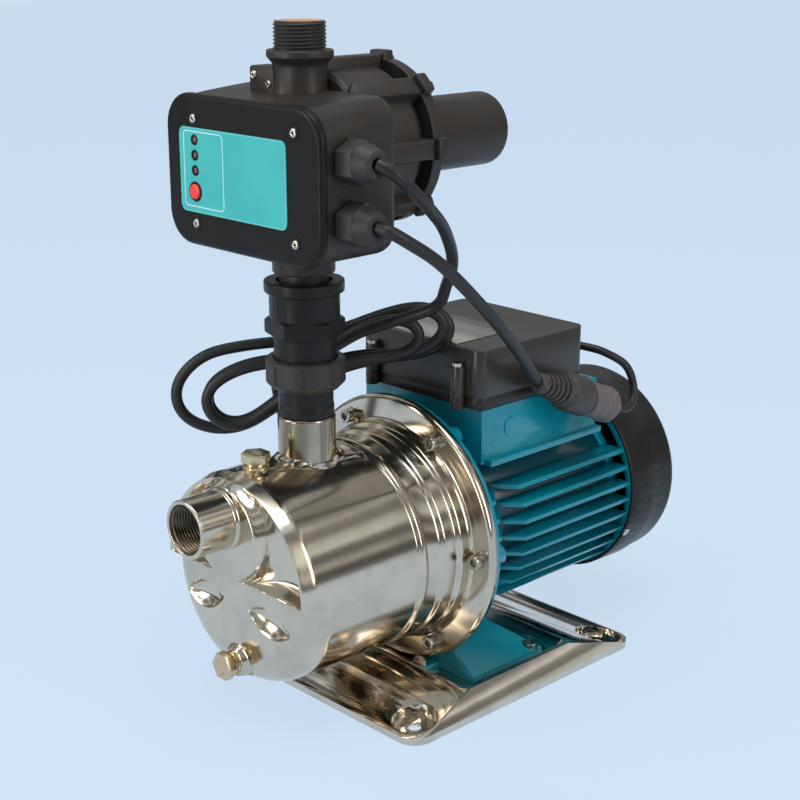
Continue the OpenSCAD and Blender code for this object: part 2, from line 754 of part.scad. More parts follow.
module motor_housing() {
    y1 = housing_end;
    color(teal)
    difference() {
        union() {
            rod(bracket_end, y1 - 6, housing_r);
            intersection() {
                turned() polygon([[0, bracket_end], [housing_r, bracket_end], [fin_tip_r, bracket_end + 15],
                    [fin_tip_r, y1], [housing_r, y1], [housing_r, y1 - 6], [0, y1 - 6]]);
                fin_rows(bracket_end, y1, fin_tip_r);
            }
            difference() {
                union() {
                    translate([-platform_w / 2, box_front + 4, shaft_z + housing_r - 5])
                        cube([platform_w, platform_l - 4, platform_h + 5]);
                    translate([-ledge_w / 2, box_front + 8, shaft_z + housing_r - 6])
                        cube([ledge_w, platform_l - 8, 4]);
                }
                translate([-platform_w / 2 + 4, box_front + 8, shaft_z + housing_r + 3])
                    cube([platform_w - 8, platform_l - 12, platform_rise]);
                rod(box_front - over, bracket_end, housing_r + 0.3);
            }
            for (s = [-1, 1]) rod(bracket_end, y1 - 6, 7, shaft_z - housing_r + 14, s * (housing_r - 18));
            for (s = [-1, 1]) side_rod(s * platform_w / 2 - 1, s * platform_w / 2 + 1, 7,
                bracket_end + 14, platform_z - 17);
        }
        rod(bracket_end - over, y1, housing_r - 5);
        post(shaft_z + housing_r - 20, shaft_z + housing_r + 20, wire_hole_r, 0, wire_hole_y);
    }
}
cover_wall = 2;
shield_rim_y = housing_end + 0.6;
shield_rim_w = 5;
cover_screw_angles = [90, 205, 335];
module at_cover_screws() {
    for (a = cover_screw_angles)
        translate([0, shield_rim_y + shield_rim_w / 2, shaft_z]) rotate([0, 90 - a, 0]) children();
}
module rear_end_shield() {
    rim_r = cover_r - cover_wall;
    color(teal)
    difference() {
        union() {
            rod(housing_end - 6, shield_rim_y + 2, housing_r - 0.2);
            rod(rear_bearing_y - 1, housing_end - 1, bearing_r + 5);
            tube(shield_rim_y, shield_rim_y + shield_rim_w, rim_r - 0.4, rim_r - 5);
            for (a = cover_screw_angles) translate([0, 0, shaft_z]) rotate([0, 90 - a, 0])
                block([-6, shield_rim_y, housing_r - 4], [6, shield_rim_y + shield_rim_w, rim_r - 2]);
        }
        rod(rear_bearing_y - 2, rear_bearing_y + bearing_w, bearing_r + fit);
        rod(housing_end - 20, housing_end + 4, shaft_d / 2 + 1);
        at_cover_screws() translate([0, 0, cover_r - 14]) cylinder(r = 1.6 + fit, h = 20);
    }
}
module cooling_fan() {
    color(black) {
        tube(fan_y - 14, fan_y + 2, 11, shaft_d / 2);
        tube(fan_y, fan_y + 2, fan_r, shaft_d / 2);
        around(fan_blades)
            block([-1.2, fan_y - 14, shaft_z + 10], [1.2, fan_y + 1, shaft_z + fan_r]);
    }
}
module fan_cover() {
    r = cover_r;
    h = cover_len;
    w = cover_wall;
    color(black)
    difference() {
        turned(housing_end) polygon(concat(
            [[r - w, 0.5], [r - 0.6, 0.5], [r, 2], [r + 0.3, h * 0.5], [r - 0.6, h * 0.5 + 0.8],
             [r - 1.6, h - 9]],
            arc(r - 9.6, h - 8, 8, 0, 90, 6),
            [[0, h], [0, h - w]],
            arc(r - 9.6, h - 8, 8 - w, 90, 0, 6),
            [[r - w - 1.2, h * 0.5]]
        ));
        for (ring = [0:3])
            difference() {
                tube(cover_end - w - over, cover_end + over, 24 + ring * 12, 16 + ring * 12);
                for (k = [0:5]) translate([0, 0, shaft_z]) rotate([0, k * 30, 0])
                    translate([-cover_r, cover_end - w - 2, -1.5]) cube([2 * cover_r, w + 4, 3]);
            }
        at_cover_screws() translate([0, 0, cover_r - w - 2]) cylinder(r = 1.6 + fit, h = 10);
        at_cover_screws() translate([0, 0, cover_r - 0.9]) cylinder(r = 3.6, h = 6);
    }
}
module fan_cover_screws() {
    color(steel)
    at_cover_screws() {
        translate([0, 0, cover_r - 0.9]) cylinder(r = 3.3, h = 1.6);
        translate([0, 0, cover_r - 12]) cylinder(r = 1.6, h = 11.5);
    }
}

// Terminal box
module box_shell(w, l, h, wall, r) {
    difference() {
        slab(w, l, r, h);
        translate([0, 0, wall]) slab(w - 2 * wall, l - 2 * wall, r - wall + 0.5, h);
    }
}
box_y = (box_front + box_back) / 2;
module terminal_box_gasket() {
    color(black)
    translate([0, box_y, platform_z]) difference() {
        slab(platform_w - 2, box_l - 8, 6, gasket_t);
        translate([0, 0, -over]) slab(platform_w - 12, box_l - 18, 4, gasket_t + 2 * over);
    }
}
lid_pillars = [for (sx = [-1, 1], sy = [-1, 1]) [sx * (box_w / 2 - 17), box_y + sy * (box_l / 2 + 4.2)]];
pillar_h = 22;
module terminal_box_base() {
    color(black)
    difference() {
        union() {
            translate([0, box_y, box_z]) box_shell(box_w, box_l, box_base_h, box_wall, 8);
            for (p = lid_pillars) post(box_z, lid_z, 5, p[0], p[1]);
        }
        for (p = lid_pillars) post(box_z + 2, lid_z + over, 2 + fit, p[0], p[1]);
        post(box_z - over, lid_z, wire_hole_r, 0, wire_hole_y);
    }
}
module terminal_box_lid() {
    color(black)
    difference() {
        union() {
            translate([0, box_y, lid_top]) rotate([180, 0, 0])
                box_shell(box_w, box_l, box_lid_h, box_wall, 8);
            for (p = lid_pillars) post(lid_z, lid_z + pillar_h, 5, p[0], p[1]);
        }
        for (p = lid_pillars) post(lid_z - over, lid_z + pillar_h + over, 2 + fit, p[0], p[1]);
        rod(box_back - 12, box_back + 12, box_gland_r + fit, box_gland_z, box_gland_x);
    }
}
box_gland_r = 6;
box_gland_x = 26;
box_gland_z = lid_z + 12;
module box_gland() {
    color(black)
    difference() {
        union() {
            rod(box_back - box_wall - 3, box_back, box_gland_r, box_gland_z, box_gland_x);
            rod(box_back + 0.3, box_back + 5, box_gland_r + 3.5, box_gland_z, box_gland_x);
            rod(box_back - over, box_back + 10, box_gland_r, box_gland_z, box_gland_x);
        }
        rod(box_back - 12, box_back + 12, lead_d / 2 + 0.2, box_gland_z, box_gland_x);
    }
}
module terminal_box_screws() {
    color(steel)
    for (p = lid_pillars) {
        post(lid_z + pillar_h, lid_z + pillar_h + 2.5, 3.8, p[0], p[1]);
        post(box_z + 3, lid_z + pillar_h, 2, p[0], p[1]);
    }
}
module rating_plate() {
    color([0.8, 0.79, 0.77])
    block([-50, box_front + 4, lid_top], [34, box_front + 62, lid_top + 0.6]);
}
module capacitor() {
    color([0.85, 0.85, 0.83])
    rod(box_y - 34, box_y + 34, capacitor_r, lid_z + 2 + capacitor_r, -30);
}

// Union between the pump and the controller
module union_tail() {
    color(black)
    translate([0, discharge_y, 0]) difference() {
        union() {
            post(boss_top - 15, boss_top, outlet_r);
            post(boss_top, nut_z + 6, port_d / 2 - 0.5);
            translate([0, 0, nut_z + 5]) cylinder(r1 = port_d / 2 - 0.5, r2 = union_nut_r - 4, h = 4);
            post(nut_z + 9, nut_z + 13, union_nut_r - 4);
        }
        post(boss_top - 16, nut_top, water_r);
        rotate_extrude() translate([water_r + 4, nut_z + 13]) circle(r = ring_wire_r + 0.1, $fn = 24);
    }
}
nut_ribs = 12;
module union_nut() {
    color(black)
    translate([0, discharge_y, 0]) difference() {
        union() {
            post(nut_z + 5, nut_top, union_nut_r - 1);
            translate([0, 0, nut_z]) cylinder(r1 = union_nut_r - 5, r2 = union_nut_r - 1, h = 5);
            for (i = [0:nut_ribs - 1]) rotate([0, 0, i * 360 / nut_ribs])
                translate([0, -2.5, nut_z + 5]) cube([union_nut_r - 0.2, 5, union_nut_h - 7]);
        }
        post(nut_z - over, nut_top, port_d / 2);
        translate([0, 0, nut_z + 5]) cylinder(r1 = port_d / 2, r2 = union_nut_r - 4 + fit, h = 4);
        post(nut_z + 9, nut_top + over, union_nut_r - 4 + fit);
    }
}
module union_body() {
    color(black)
    translate([0, discharge_y, 0]) difference() {
        union() {
            post(nut_z + 13.2, nut_top + 1, union_nut_r - 4);
            post(nut_top + 1, hex_z, port_d / 2 + 0.8);
            translate([0, 0, hex_z]) cylinder(d = union_hex, h = hex_h, $fn = 6);
            post(sleeve_z, collar_z, outlet_r + 7.1);
            post(collar_z, collar_z + collar_h, outlet_r + 9.9);
        }
        post(nut_z, hex_z + 2, water_r);
        post(hex_z, collar_z + collar_h, outlet_r + 0.1);
        post(collar_z + 4, collar_z + collar_h + over, body_neck_r + 1);
    }
}
// Controller
body_neck_r = outlet_r + 3.4;
valve_z = inlet_z - 10;
seat_r = 9;
seat_gap = 0.1;
module controller_box() {
    slab_y(body_y, body_back, face_w - 4, face_h - 2, face_corner - 2, face_z);
}
module controller_body() {
    color(black)
    difference() {
        union() {
            controller_box();
            rod(body_back - 10, ring_y - 6, chamber_r, chamber_z);
            rod(ring_y - 7, ring_y - 0.6, chamber_r - 6, chamber_z);
            around(lugs_n, chamber_z)
                block([-6.5, body_back - 4, chamber_z + 30], [6.5, ring_y - 0.6, chamber_z + lug_r - 2]);
            translate([0, discharge_y, 0]) {
                post(inlet_z - 16, inlet_z, outlet_r);
                post(inlet_z, body_z + 2, body_neck_r);
                post(body_z, outlet_collar_z, 17);
                post(outlet_collar_z, outlet_z, 21);
                post(outlet_z, outlet_top, outlet_r);
            }
            block([-30, discharge_y - 16, body_top + 4], [-6, discharge_y - 2, body_top + 17]);
        }
        slab_y(body_y - over, discharge_y - 23, face_w - 10, face_h - 8, face_corner - 5, face_z);
        translate([0, discharge_y, 0]) {
            post(inlet_z - 17, outlet_top + over, seat_r);
            post(valve_z - seat_gap, outlet_top + over, water_r);
        }
        rod(discharge_y, ring_y, chamber_r - 16, chamber_z);
        around(lugs_n, chamber_z) rod(ring_y - 18, ring_y, 2.5 + fit, chamber_z + ring_r - 2);
        for (s = [-1, 1])
            side_rod(gland_x - 12, gland_x + over, 8 + fit, gland_y, gland_z + s * gland_pitch / 2);
    }
}
cover_screw_places = [for (x = [-face_w / 2 + 29.5, face_w / 2 - 24], s = [-1, 1])
    [x, face_z - 0.3 + s * (face_h / 2 - 15.1)]];
module front_cover() {
    color(black)
    difference() {
        union() {
            difference() {
                slab_y(face_y, body_y, face_w, face_h, face_corner, face_z);
                slab_y(face_y + 3, body_y + over, face_w - 12, face_h - 12, face_corner - 6, face_z);
            }
            for (p = cover_screw_places) rod(face_y, body_y, 4.5, p[1], p[0]);
        }
        for (p = cover_screw_places) rod(face_y - over, body_y + over, 1.6 + fit, p[1], p[0]);
        for (p = cover_screw_places) rod(face_y - over, face_y + 1.6, 3.6, p[1], p[0]);
        for (i = [0:2]) rod(face_y - over, body_y, 2.2 + fit, light_z + i * light_pitch, light_x);
        rod(face_y - over, body_y, button_d / 2 + 0.3, button_z, button_x);
    }
}
module cover_screws() {
    color(steel)
    for (p = cover_screw_places)
        translate([p[0], face_y + 1.6, p[1]]) rotate([-90, 0, 0]) cap_screw(3.2, 9, 6.4, 1.4, 2);
}
label_t = 0.6;
module control_label() {
    color(turquoise)
    difference() {
        translate([-8, 0, 0]) slab_y(face_y - label_t, face_y, face_w - 46, face_h - 43, 5, face_z + 0.5);
        for (i = [0:2]) rod(face_y - 2, face_y + over, 3.4, light_z + i * light_pitch, light_x);
        rod(face_y - 2, face_y + over, button_d / 2 + 1, button_z, button_x);
    }
}
module indicator_lights() {
    color([0.45, 0.12, 0.12])
    for (i = [0:2]) rod(face_y - 0.5, face_y + 4, 2.2, light_z + i * light_pitch, light_x);
}
button_out = button_travel + 0.5;
module reset_button() {
    color([1, 0.24, 0.2]) {
        rod(face_y - button_out, body_y - 1.2, button_d / 2, button_z, button_x);
        rod(body_y - 2.4, body_y - 1.2, button_d / 2 + 1.5, button_z, button_x);
    }
}
module circuit_board() {
    color([0.1, 0.4, 0.25]) {
        block([18 - face_w / 2, body_y + 3, face_z + 19.5 - face_h / 2],
            [face_w / 2 - 18, body_y + 4.6, face_z + face_h / 2 - 19.5]);
        block([10, body_y + 4.6, face_z - 20], [34, body_y + 16, face_z + 12]);
        block([-30, body_y + 4.6, face_z - 6], [-6, body_y + 14, face_z + 18]);
    }
}
module cable_glands() {
    color(black)
    for (s = [-1, 1]) translate([gland_x, gland_y, gland_z + s * gland_pitch / 2]) rotate([0, 90, 0])
        difference() {
            union() {
                translate([0, 0, -8]) cylinder(r = 8, h = 8);
                cylinder(r = 14, h = 14, $fn = 6);
                translate([0, 0, 14]) cylinder(r1 = 12, r2 = 8.5, h = 10);
            }
            translate([0, 0, -9]) cylinder(d = cord_d + 0.4, h = 40);
        }
}
module check_valve() {
    color(brass)
    translate([0, discharge_y, 0]) {
        post(valve_z, valve_z + 4, water_r - 0.8);
        post(valve_z + 3, valve_z + 16 + valve_lift, 3);
    }
}
piston_y = ring_y - 4;
module pressure_piston() {
    color(copper) {
        rod(piston_y, piston_y + 4, 26, chamber_z);
        rod(piston_y + 3, housing_back - 26 - piston_travel, 4, chamber_z);
    }
}
spring_y = piston_y + 4.3;
module pressure_spring() {
    color(steel) tube(spring_y, housing_back - 12.3, 14, 10, chamber_z);
}
module rear_cap() {
    l = housing_back - ring_y;
    color(black)
    difference() {
        union() {
            turned(ring_y, chamber_z) polygon(concat(
                [[0, 0], [ring_r, 0], [ring_r, ring_t], [spring_housing_r + 4, ring_t],
                 [spring_housing_r, ring_t + 4]],
                arc(spring_housing_r - 5, l - 5, 5, 0, 90, 5),
                [[0, l]]
            ));
            around(lugs_n, chamber_z)
                block([-7, ring_y + 0.4, chamber_z + 40], [7, ring_back - 0.4, chamber_z + lug_r]);
        }
        rod(ring_y - over, ring_y + 5, 30, chamber_z);
        rod(ring_y + 4, housing_back - 12, spring_housing_r - 5, chamber_z);
        around(lugs_n, chamber_z) rod(ring_y - over, ring_back + over, 2.5 + fit, chamber_z + ring_r - 2);
    }
}
module rear_cap_screws() {
    color(steel)
    around(lugs_n, chamber_z) translate([0, ring_back, chamber_z + ring_r - 2]) rotate([90, 0, 0])
        cap_screw(5, ring_t + 12, 8.5, 4, 4);
}

// Cords: a tube swept along a smooth curve through its route points
cord_sides = 10;
cord_steps = 3;
// A route whose two ends are carried along with the pieces they join; the points between share the way
function carried_route(route, first, last, reach = 1) =
    let (n = len(route) - 1)
    [for (i = [0:n]) route[i] + first + (last - first) * min(1, reach * i / n)];
gland_shift = [gland_x - 76, gland_y + 137, gland_z - 366.3];
coil_shift = [0, discharge_y + 110, boss_top - 206];
connector_shift = [box_w / 2 - 60, 0, lid_z - 206];
box_gland_shift = [box_gland_x - 26, box_back - 105, box_gland_z - 218];
plug_shift = [74 - casing_r, 0, 0];
supply_route = carried_route([
    [100, -137, 385], [108, -133, 382], [110, -123, 373], [107, -108, 362], [102, -95, 353],
    [95, -79, 342], [86, -64, 329], [76, -50, 315], [67, -42, 302], [56, -37, 288], [44, -34, 273],
    [24, -38, 264], [8, -42, 260]
], gland_shift, coil_shift);
tail_route = carried_route([
    [-14, -66, 251], [-24, -71, 252.5], [-34, -76, 249], [-44, -79, 239], [-52, -78, 225], [-57, -75, 210],
    [-60, -71, 193], [-63, -68, 176], [-69, -66, 159], [-78, -66, 143], [-86, -66, 128], [-90, -66, 115],
    [-90, -66, 102]
], coil_shift, plug_shift, 2);
controller_lead_route = carried_route([
    [100, -137, 348], [108, -134, 346], [113, -122, 338], [115, -105, 327], [113, -86, 313],
    [108, -58, 291], [102, -30, 268], [94, -4, 246], [86, 16, 229], [80, 33, 215]
], gland_shift, connector_shift);
motor_lead_route = carried_route([
    [79, 118, 179], [78, 132, 174], [75, 144, 176], [71, 150, 188], [66, 146, 203], [56, 134, 213],
    [44, 128, 216], [32, 122, 217], [26, 112, 217]
], connector_shift, box_gland_shift);
function spline(p, i, t) =
    let (a = p[max(i - 1, 0)], b = p[i], c = p[i + 1], d = p[min(i + 2, len(p) - 1)])
    0.5 * (2 * b + (c - a) * t + (2 * a - 5 * b + 4 * c - d) * t * t + (3 * b - a - 3 * c + d) * t * t * t);
function curve(p, n) =
    [for (i = [0:len(p) - 2], k = [0:n - 1]) spline(p, i, k / n), p[len(p) - 1]];
function heading(q) =
    [for (i = [0:len(q) - 1]) let (v = q[min(i + 1, len(q) - 1)] - q[max(i - 1, 0)]) v / norm(v)];
function square_to(u, t) = let (v = u - (u * t) * t) v / norm(v);
function carried(t, u, i = 0) =
    i == len(t) ? [] : let (v = square_to(u, t[i])) concat([v], carried(t, v, i + 1));
module cord(route, d, sides = cord_sides) {
    q = curve(route, cord_steps);
    t = heading(q);
    u = carried(t, [0.1, 0.2, 1]);
    n = len(q);
    points = [for (i = [0:n - 1], k = [0:sides - 1])
        q[i] + d / 2 * (cos(360 * k / sides) * u[i] + sin(360 * k / sides) * cross(t[i], u[i]))];
    faces = concat(
        [[for (k = [0:sides - 1]) k]],
        [for (i = [0:n - 2], k = [0:sides - 1])
            let (near = i * sides, far = near + sides, next = (k + 1) % sides)
            [near + k, far + k, far + next, near + next]],
        [[for (k = [sides - 1:-1:0]) (n - 1) * sides + k]]
    );
    polyhedron(points, faces);
}
module controller_lead() {
    color(black) cord(controller_lead_route, cord_d);
}
module motor_lead() {
    color(black) cord(motor_lead_route, lead_d);
}
module supply_cord() {
    color(black) {
        cord(supply_route, cord_d);
        cord(tail_route, cord_d);
    }
}
// The plug and socket that join the controller's lead to the motor's lead
connector_start = [80, 33, 215] + connector_shift;
connector_end = [79, 118, 179] + connector_shift;
module lead_connector() {
    along = connector_end - connector_start;
    len = norm(along);
    color(black)
    translate(connector_start) rotate([0, acos(along[2] / len), atan2(along[1], along[0])]) {
        cylinder(r1 = 5.5, r2 = 8, h = 24);
        translate([0, 0, 24]) cylinder(r = 14, h = 32);
        translate([0, 0, 56]) cylinder(r = 12.5, h = len - 62);
        translate([0, 0, len - 6]) cylinder(r1 = 9, r2 = 5, h = 6);
    }
}
// The spare supply cord, wound in a flat bundle behind the union
coil_heading = 46.35;
coil_gap = 33;
coil_t = 16;
module coil_outline() {
    cylinder(r = 34, h = coil_t);
    translate([142, 43, 0]) cylinder(r = 19, h = coil_t);
    linear_extrude(coil_t) polygon([[-4, 33.7], [76, 44], [135, 60.5], [148, 25.2], [90, 19], [10, -32.4]]);
}
module supply_coil() {
    color(black)
    translate([0, discharge_y, boss_top + 1]) rotate([0, 0, coil_heading])
        translate([-66, coil_gap + coil_t, 0]) rotate([90, 0, 0]) coil_outline();
}
// The mains plug at the end of the supply cord, with three flat pins
plug_x = -casing_r - 16;
plug_y = -66;
plug_top = 104;
plug_body_h = 36;
module plug_pin(x, y, turn) {
    translate([x, y, plug_top - plug_body_h - 18]) rotate([0, 0, turn]) translate([-3.1, -0.8, 0])
        cube([6.2, 1.6, 20]);
}
module supply_plug() {
    color(black) {
        translate([plug_x, plug_y, plug_top - plug_body_h]) slab(24, 36, 8, plug_body_h - 10);
        translate([plug_x, plug_y, plug_top - 10 - over]) cylinder(r1 = 10, r2 = 6.5, h = 10 + over);
    }
    color(brass) {
        plug_pin(plug_x - 2, plug_y - 8, 60);
        plug_pin(plug_x - 2, plug_y + 8, -60);
        plug_pin(plug_x + 6, plug_y, 0);
    }
}

base_plate();
foot_screws();
motor_bracket();
pump_casing();
suction_port();
discharge_port();
o_rings();
casing_back_plate();
flange_bolts();
flange_washers();
ejector_body();
jet_nozzle();
venturi_tube();
diffuser();
impeller();
impeller_nut();
seal_rotor();
seal_seat();
priming_plug();
drain_plug();
plug_washers();
motor_shaft();
bearings();
rotor_core();
stator_core();
stator_windings();
motor_housing();
rear_end_shield();
cooling_fan();
fan_cover();
fan_cover_screws();
terminal_box_base();
terminal_box_gasket();
terminal_box_lid();
terminal_box_screws();
box_gland();
rating_plate();
capacitor();
union_tail();
union_nut();
union_body();
controller_body();
front_cover();
cover_screws();
control_label();
indicator_lights();
reset_button();
circuit_board();
cable_glands();
check_valve();
pressure_piston();
pressure_spring();
rear_cap();
rear_cap_screws();
controller_lead();
lead_connector();
motor_lead();
supply_cord();
supply_coil();
supply_plug();
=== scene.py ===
# %% [markdown]
# # A jet pump with a pressure controller
#
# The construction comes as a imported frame: sixty named pieces at their real size, in metres, with the
# origin between the foundation holes and +Z up. This lesson gives those pieces their looks. A piece whose
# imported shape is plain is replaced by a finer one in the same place, and every surface gets a finish that
# is worked out from numbers, with no picture files.

# %% Load the frame
import json
from math import cos, pi, radians, sin

import bmesh
import bpy
import numpy as np
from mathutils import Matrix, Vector

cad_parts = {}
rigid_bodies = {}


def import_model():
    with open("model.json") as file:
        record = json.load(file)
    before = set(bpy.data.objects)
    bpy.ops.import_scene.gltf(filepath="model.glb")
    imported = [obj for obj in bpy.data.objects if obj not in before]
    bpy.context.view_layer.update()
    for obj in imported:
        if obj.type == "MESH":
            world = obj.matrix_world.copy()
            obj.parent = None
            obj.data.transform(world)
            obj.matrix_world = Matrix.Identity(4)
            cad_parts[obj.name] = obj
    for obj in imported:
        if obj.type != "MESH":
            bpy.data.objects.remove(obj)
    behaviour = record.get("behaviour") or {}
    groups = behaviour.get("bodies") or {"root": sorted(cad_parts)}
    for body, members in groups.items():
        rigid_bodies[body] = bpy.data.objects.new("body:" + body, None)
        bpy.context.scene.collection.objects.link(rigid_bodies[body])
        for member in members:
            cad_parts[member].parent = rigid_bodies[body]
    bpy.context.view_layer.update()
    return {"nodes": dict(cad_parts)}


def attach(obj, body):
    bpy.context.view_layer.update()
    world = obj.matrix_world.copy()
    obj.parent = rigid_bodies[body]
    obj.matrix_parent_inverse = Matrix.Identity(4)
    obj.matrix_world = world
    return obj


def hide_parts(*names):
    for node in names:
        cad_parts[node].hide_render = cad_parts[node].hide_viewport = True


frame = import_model()

# %% [markdown]
# ## The view
#
# The camera stands where the photographer stood: to the right of the suction port, a little above the
# controller, about a metre away. A long lens keeps the upright edges nearly parallel.

# %% Camera
CAMERA_PLACE = (0.76494, -0.7535, 0.51937)
CAMERA_TURN, CAMERA_TILT = 46.35, 16.96
CAMERA_LENS, SENSOR_WIDTH = 70.5, 36.0
camera_data = bpy.data.cameras.new("camera")
camera_data.lens = CAMERA_LENS
camera_data.sensor_width = SENSOR_WIDTH
camera = bpy.data.objects.new("camera", camera_data)
camera.location = CAMERA_PLACE
camera.rotation_euler = (radians(90 - CAMERA_TILT), 0, radians(CAMERA_TURN))
bpy.context.scene.collection.objects.link(camera)
bpy.context.scene.camera = camera
bpy.context.scene.view_settings.view_transform = "Standard"
print("camera at", CAMERA_PLACE)

# %% [markdown]
# ## From arrays to pieces
#
# Every new shape is an array of points, `rows x columns x 3`, that a formula fills at once. One helper
# turns such an array into a mesh, and joins its last column to the first where the shape closes on itself.
# Another merges the points of a pole, turns the faces outwards and marks the edges that stay sharp.

# %% Mesh from a grid of points
MM = 0.001
DOUBLES = 0.002 * MM


def grid_mesh(name, grids, closed=True):
    """A mesh from one or more grids of points in millimetres; each grid is (rows, columns, 3)."""
    verts, faces, first = [], [], 0
    for grid in grids if isinstance(grids, list) else [grids]:
        rows, cols = grid.shape[:2]
        span = cols if closed else cols - 1
        i, j = np.meshgrid(np.arange(rows - 1), np.arange(span), indexing="ij")
        k = (j + 1) % cols
        quads = np.stack([i * cols + j, i * cols + k, (i + 1) * cols + k, (i + 1) * cols + j], -1)
        verts.append(grid.reshape(-1, 3))
        faces.append(quads.reshape(-1, 4) + first)
        first += rows * cols
    mesh = bpy.data.meshes.new(name)
    mesh.from_pydata(np.concatenate(verts) * MM, [], np.concatenate(faces).tolist())
    return mesh


def piece(name, grids, finish, body="pump", replaces=(), smooth_angle=35):
    """The same mesh tidied and placed as a piece of the pump."""
    mesh = grid_mesh(name, grids)
    tidy(mesh, smooth_angle)
    return placed(name, mesh, finish, body, replaces)


def tidy(mesh, smooth_angle):
    """Merges double points, turns each closed shell outwards and smooths all but its sharp edges."""
    work = bmesh.new()
    work.from_mesh(mesh)
    bmesh.ops.remove_doubles(work, verts=work.verts, dist=DOUBLES)
    bmesh.ops.dissolve_degenerate(work, edges=work.edges, dist=DOUBLES / 20)
    bmesh.ops.recalc_face_normals(work, faces=work.faces)
    for face in work.faces:
        face.smooth = True
    for edge in work.edges:
        if len(edge.link_faces) == 2 and edge.calc_face_angle(0) > radians(smooth_angle):
            edge.smooth = False
    work.to_mesh(mesh)
    work.free()


def placed(name, mesh, finish, body, replaces):
    """The mesh as an object that rides on its body and stands for the nodes it replaces."""
    thing = bpy.data.objects.new(name, mesh)
    bpy.context.scene.collection.objects.link(thing)
    mesh.materials.append(finish)
    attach(thing, body)
    if replaces:
        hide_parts(*([replaces] if isinstance(replaces, str) else replaces))
    return thing


print("grid helpers ready")

# %% [markdown]
# Most of the pump is turned or moulded round an axis. A profile is written as its corners, each with the
# radius that rounds it, the way a drawing gives them. `rounded` cuts every corner back along its two sides
# and lays an arc between, and `turned` carries the profile round an axis along y or z. The moulded boxes
# are stacks of rounded rectangles instead, and `layered` makes those.

# %% Profiles and turned shapes
def rounded(corners, steps=5):
    """Corners (a, b, r) to points: each corner becomes a quadratic arc that starts r along its sides."""
    points = []
    for n, corner in enumerate(corners):
        a, b, r = (*corner, 0)[:3]
        here = np.array([a, b], float)
        if r == 0 or n in (0, len(corners) - 1):
            points.append(here)
            continue
        before = np.array(corners[n - 1][:2], float) - here
        after = np.array(corners[n + 1][:2], float) - here
        cut = min(r, np.linalg.norm(before) * 0.49, np.linalg.norm(after) * 0.49)
        start = here + before / np.linalg.norm(before) * cut
        end = here + after / np.linalg.norm(after) * cut
        for t in np.linspace(0, 1, steps + 1):
            points.append((1 - t) ** 2 * start + 2 * t * (1 - t) * here + t ** 2 * end)
    return np.array(points)


AXES = {"y": ((1, 0, 0), (0, 0, 1), (0, 1, 0)), "z": ((1, 0, 0), (0, 1, 0), (0, 0, 1))}


def around(count):
    """Evenly spaced angles over a full turn."""
    return np.linspace(0, 2 * pi, count, endpoint=False)


def turned(profile, axis, at, cols, ripple=None, start=0.0):
    """Grid of at + r(cos t, sin t) + h along the axis; ripple(t, r, h) changes the radius."""
    u, v, w = (np.array(a, float) for a in AXES[axis])
    t = start + around(cols)[None, :, None]
    r, h = profile[:, 0][:, None, None], profile[:, 1][:, None, None]
    if ripple is not None:
        r = ripple(t, r, h)
    return np.array(at, float) + r * (np.cos(t) * u + np.sin(t) * v) + h * w


def layered(rows, steps):
    """Grid of rounded rectangles stacked along y, each (width, height, corner, y, middle x, middle z).

    A ring is four quarter circles of the corner's radius, round the middles of the four corners.
    """
    a = (np.arange(4)[:, None] * pi / 2 + np.linspace(0, pi / 2, steps + 1)).reshape(-1)
    signs = np.repeat([[1, 1], [-1, 1], [-1, -1], [1, -1]], steps + 1, axis=0).T
    width, height, corner, y, x, z = (column[:, None] for column in np.array(rows, float).T)
    return np.stack([x + signs[0] * (width / 2 - corner) + corner * np.cos(a), y + 0 * a,
                     z + signs[1] * (height / 2 - corner) + corner * np.sin(a)], -1)


def capped(grid):
    """The grid closed by the middle point of its first ring and of its last one."""
    ends = [np.repeat(ring.mean(0)[None, None], grid.shape[1], 1) for ring in (grid[0], grid[-1])]
    return np.concatenate([ends[0], grid, ends[1]])


print("a sample profile has", len(rounded([(0, 0), (10, 0, 2), (10, 5, 2), (0, 5)])), "points")

# %% [markdown]
# ## Finishes as sums
#
# A finish is a small node tree. Writing it as sums keeps it readable: `Sum` wraps one output socket, and
# every operator on it adds a Math node. Colours go through Mix, and `Finish.node` makes any other node
# from its type, its settings and what feeds its sockets.

# %% Shader sums
class Sum:
    """One number at each point of the surface, taken from a node's output socket."""

    def __init__(self, finish, socket):
        self.finish, self.socket = finish, socket

    def maths(self, kind, *others):
        """A Math node of the named kind on this number and others."""
        return self.finish.node("Math", {"operation": kind}, dict(enumerate((self, *others))))

    def __add__(self, other): return self.maths("ADD", other)
    def __sub__(self, other): return self.maths("SUBTRACT", other)
    def __mul__(self, other): return self.maths("MULTIPLY", other)
    def __rsub__(self, other): return self.finish.number("SUBTRACT", other, self)
    def __abs__(self): return self.maths("ABSOLUTE")
    def __pow__(self, other): return self.maths("POWER", other)
    __radd__, __rmul__ = __add__, __mul__

    def over(self, low, high):
        """0 below low, 1 above high, and a straight ramp between."""
        return self.finish.node("MapRange", {"clamp": True}, {0: self, 1: low, 2: high})

    def soft(self, low, high):
        """The same with rounded ends."""
        return self.finish.node("MapRange", {"interpolation_type": "SMOOTHSTEP"}, {0: self, 1: low, 2: high})


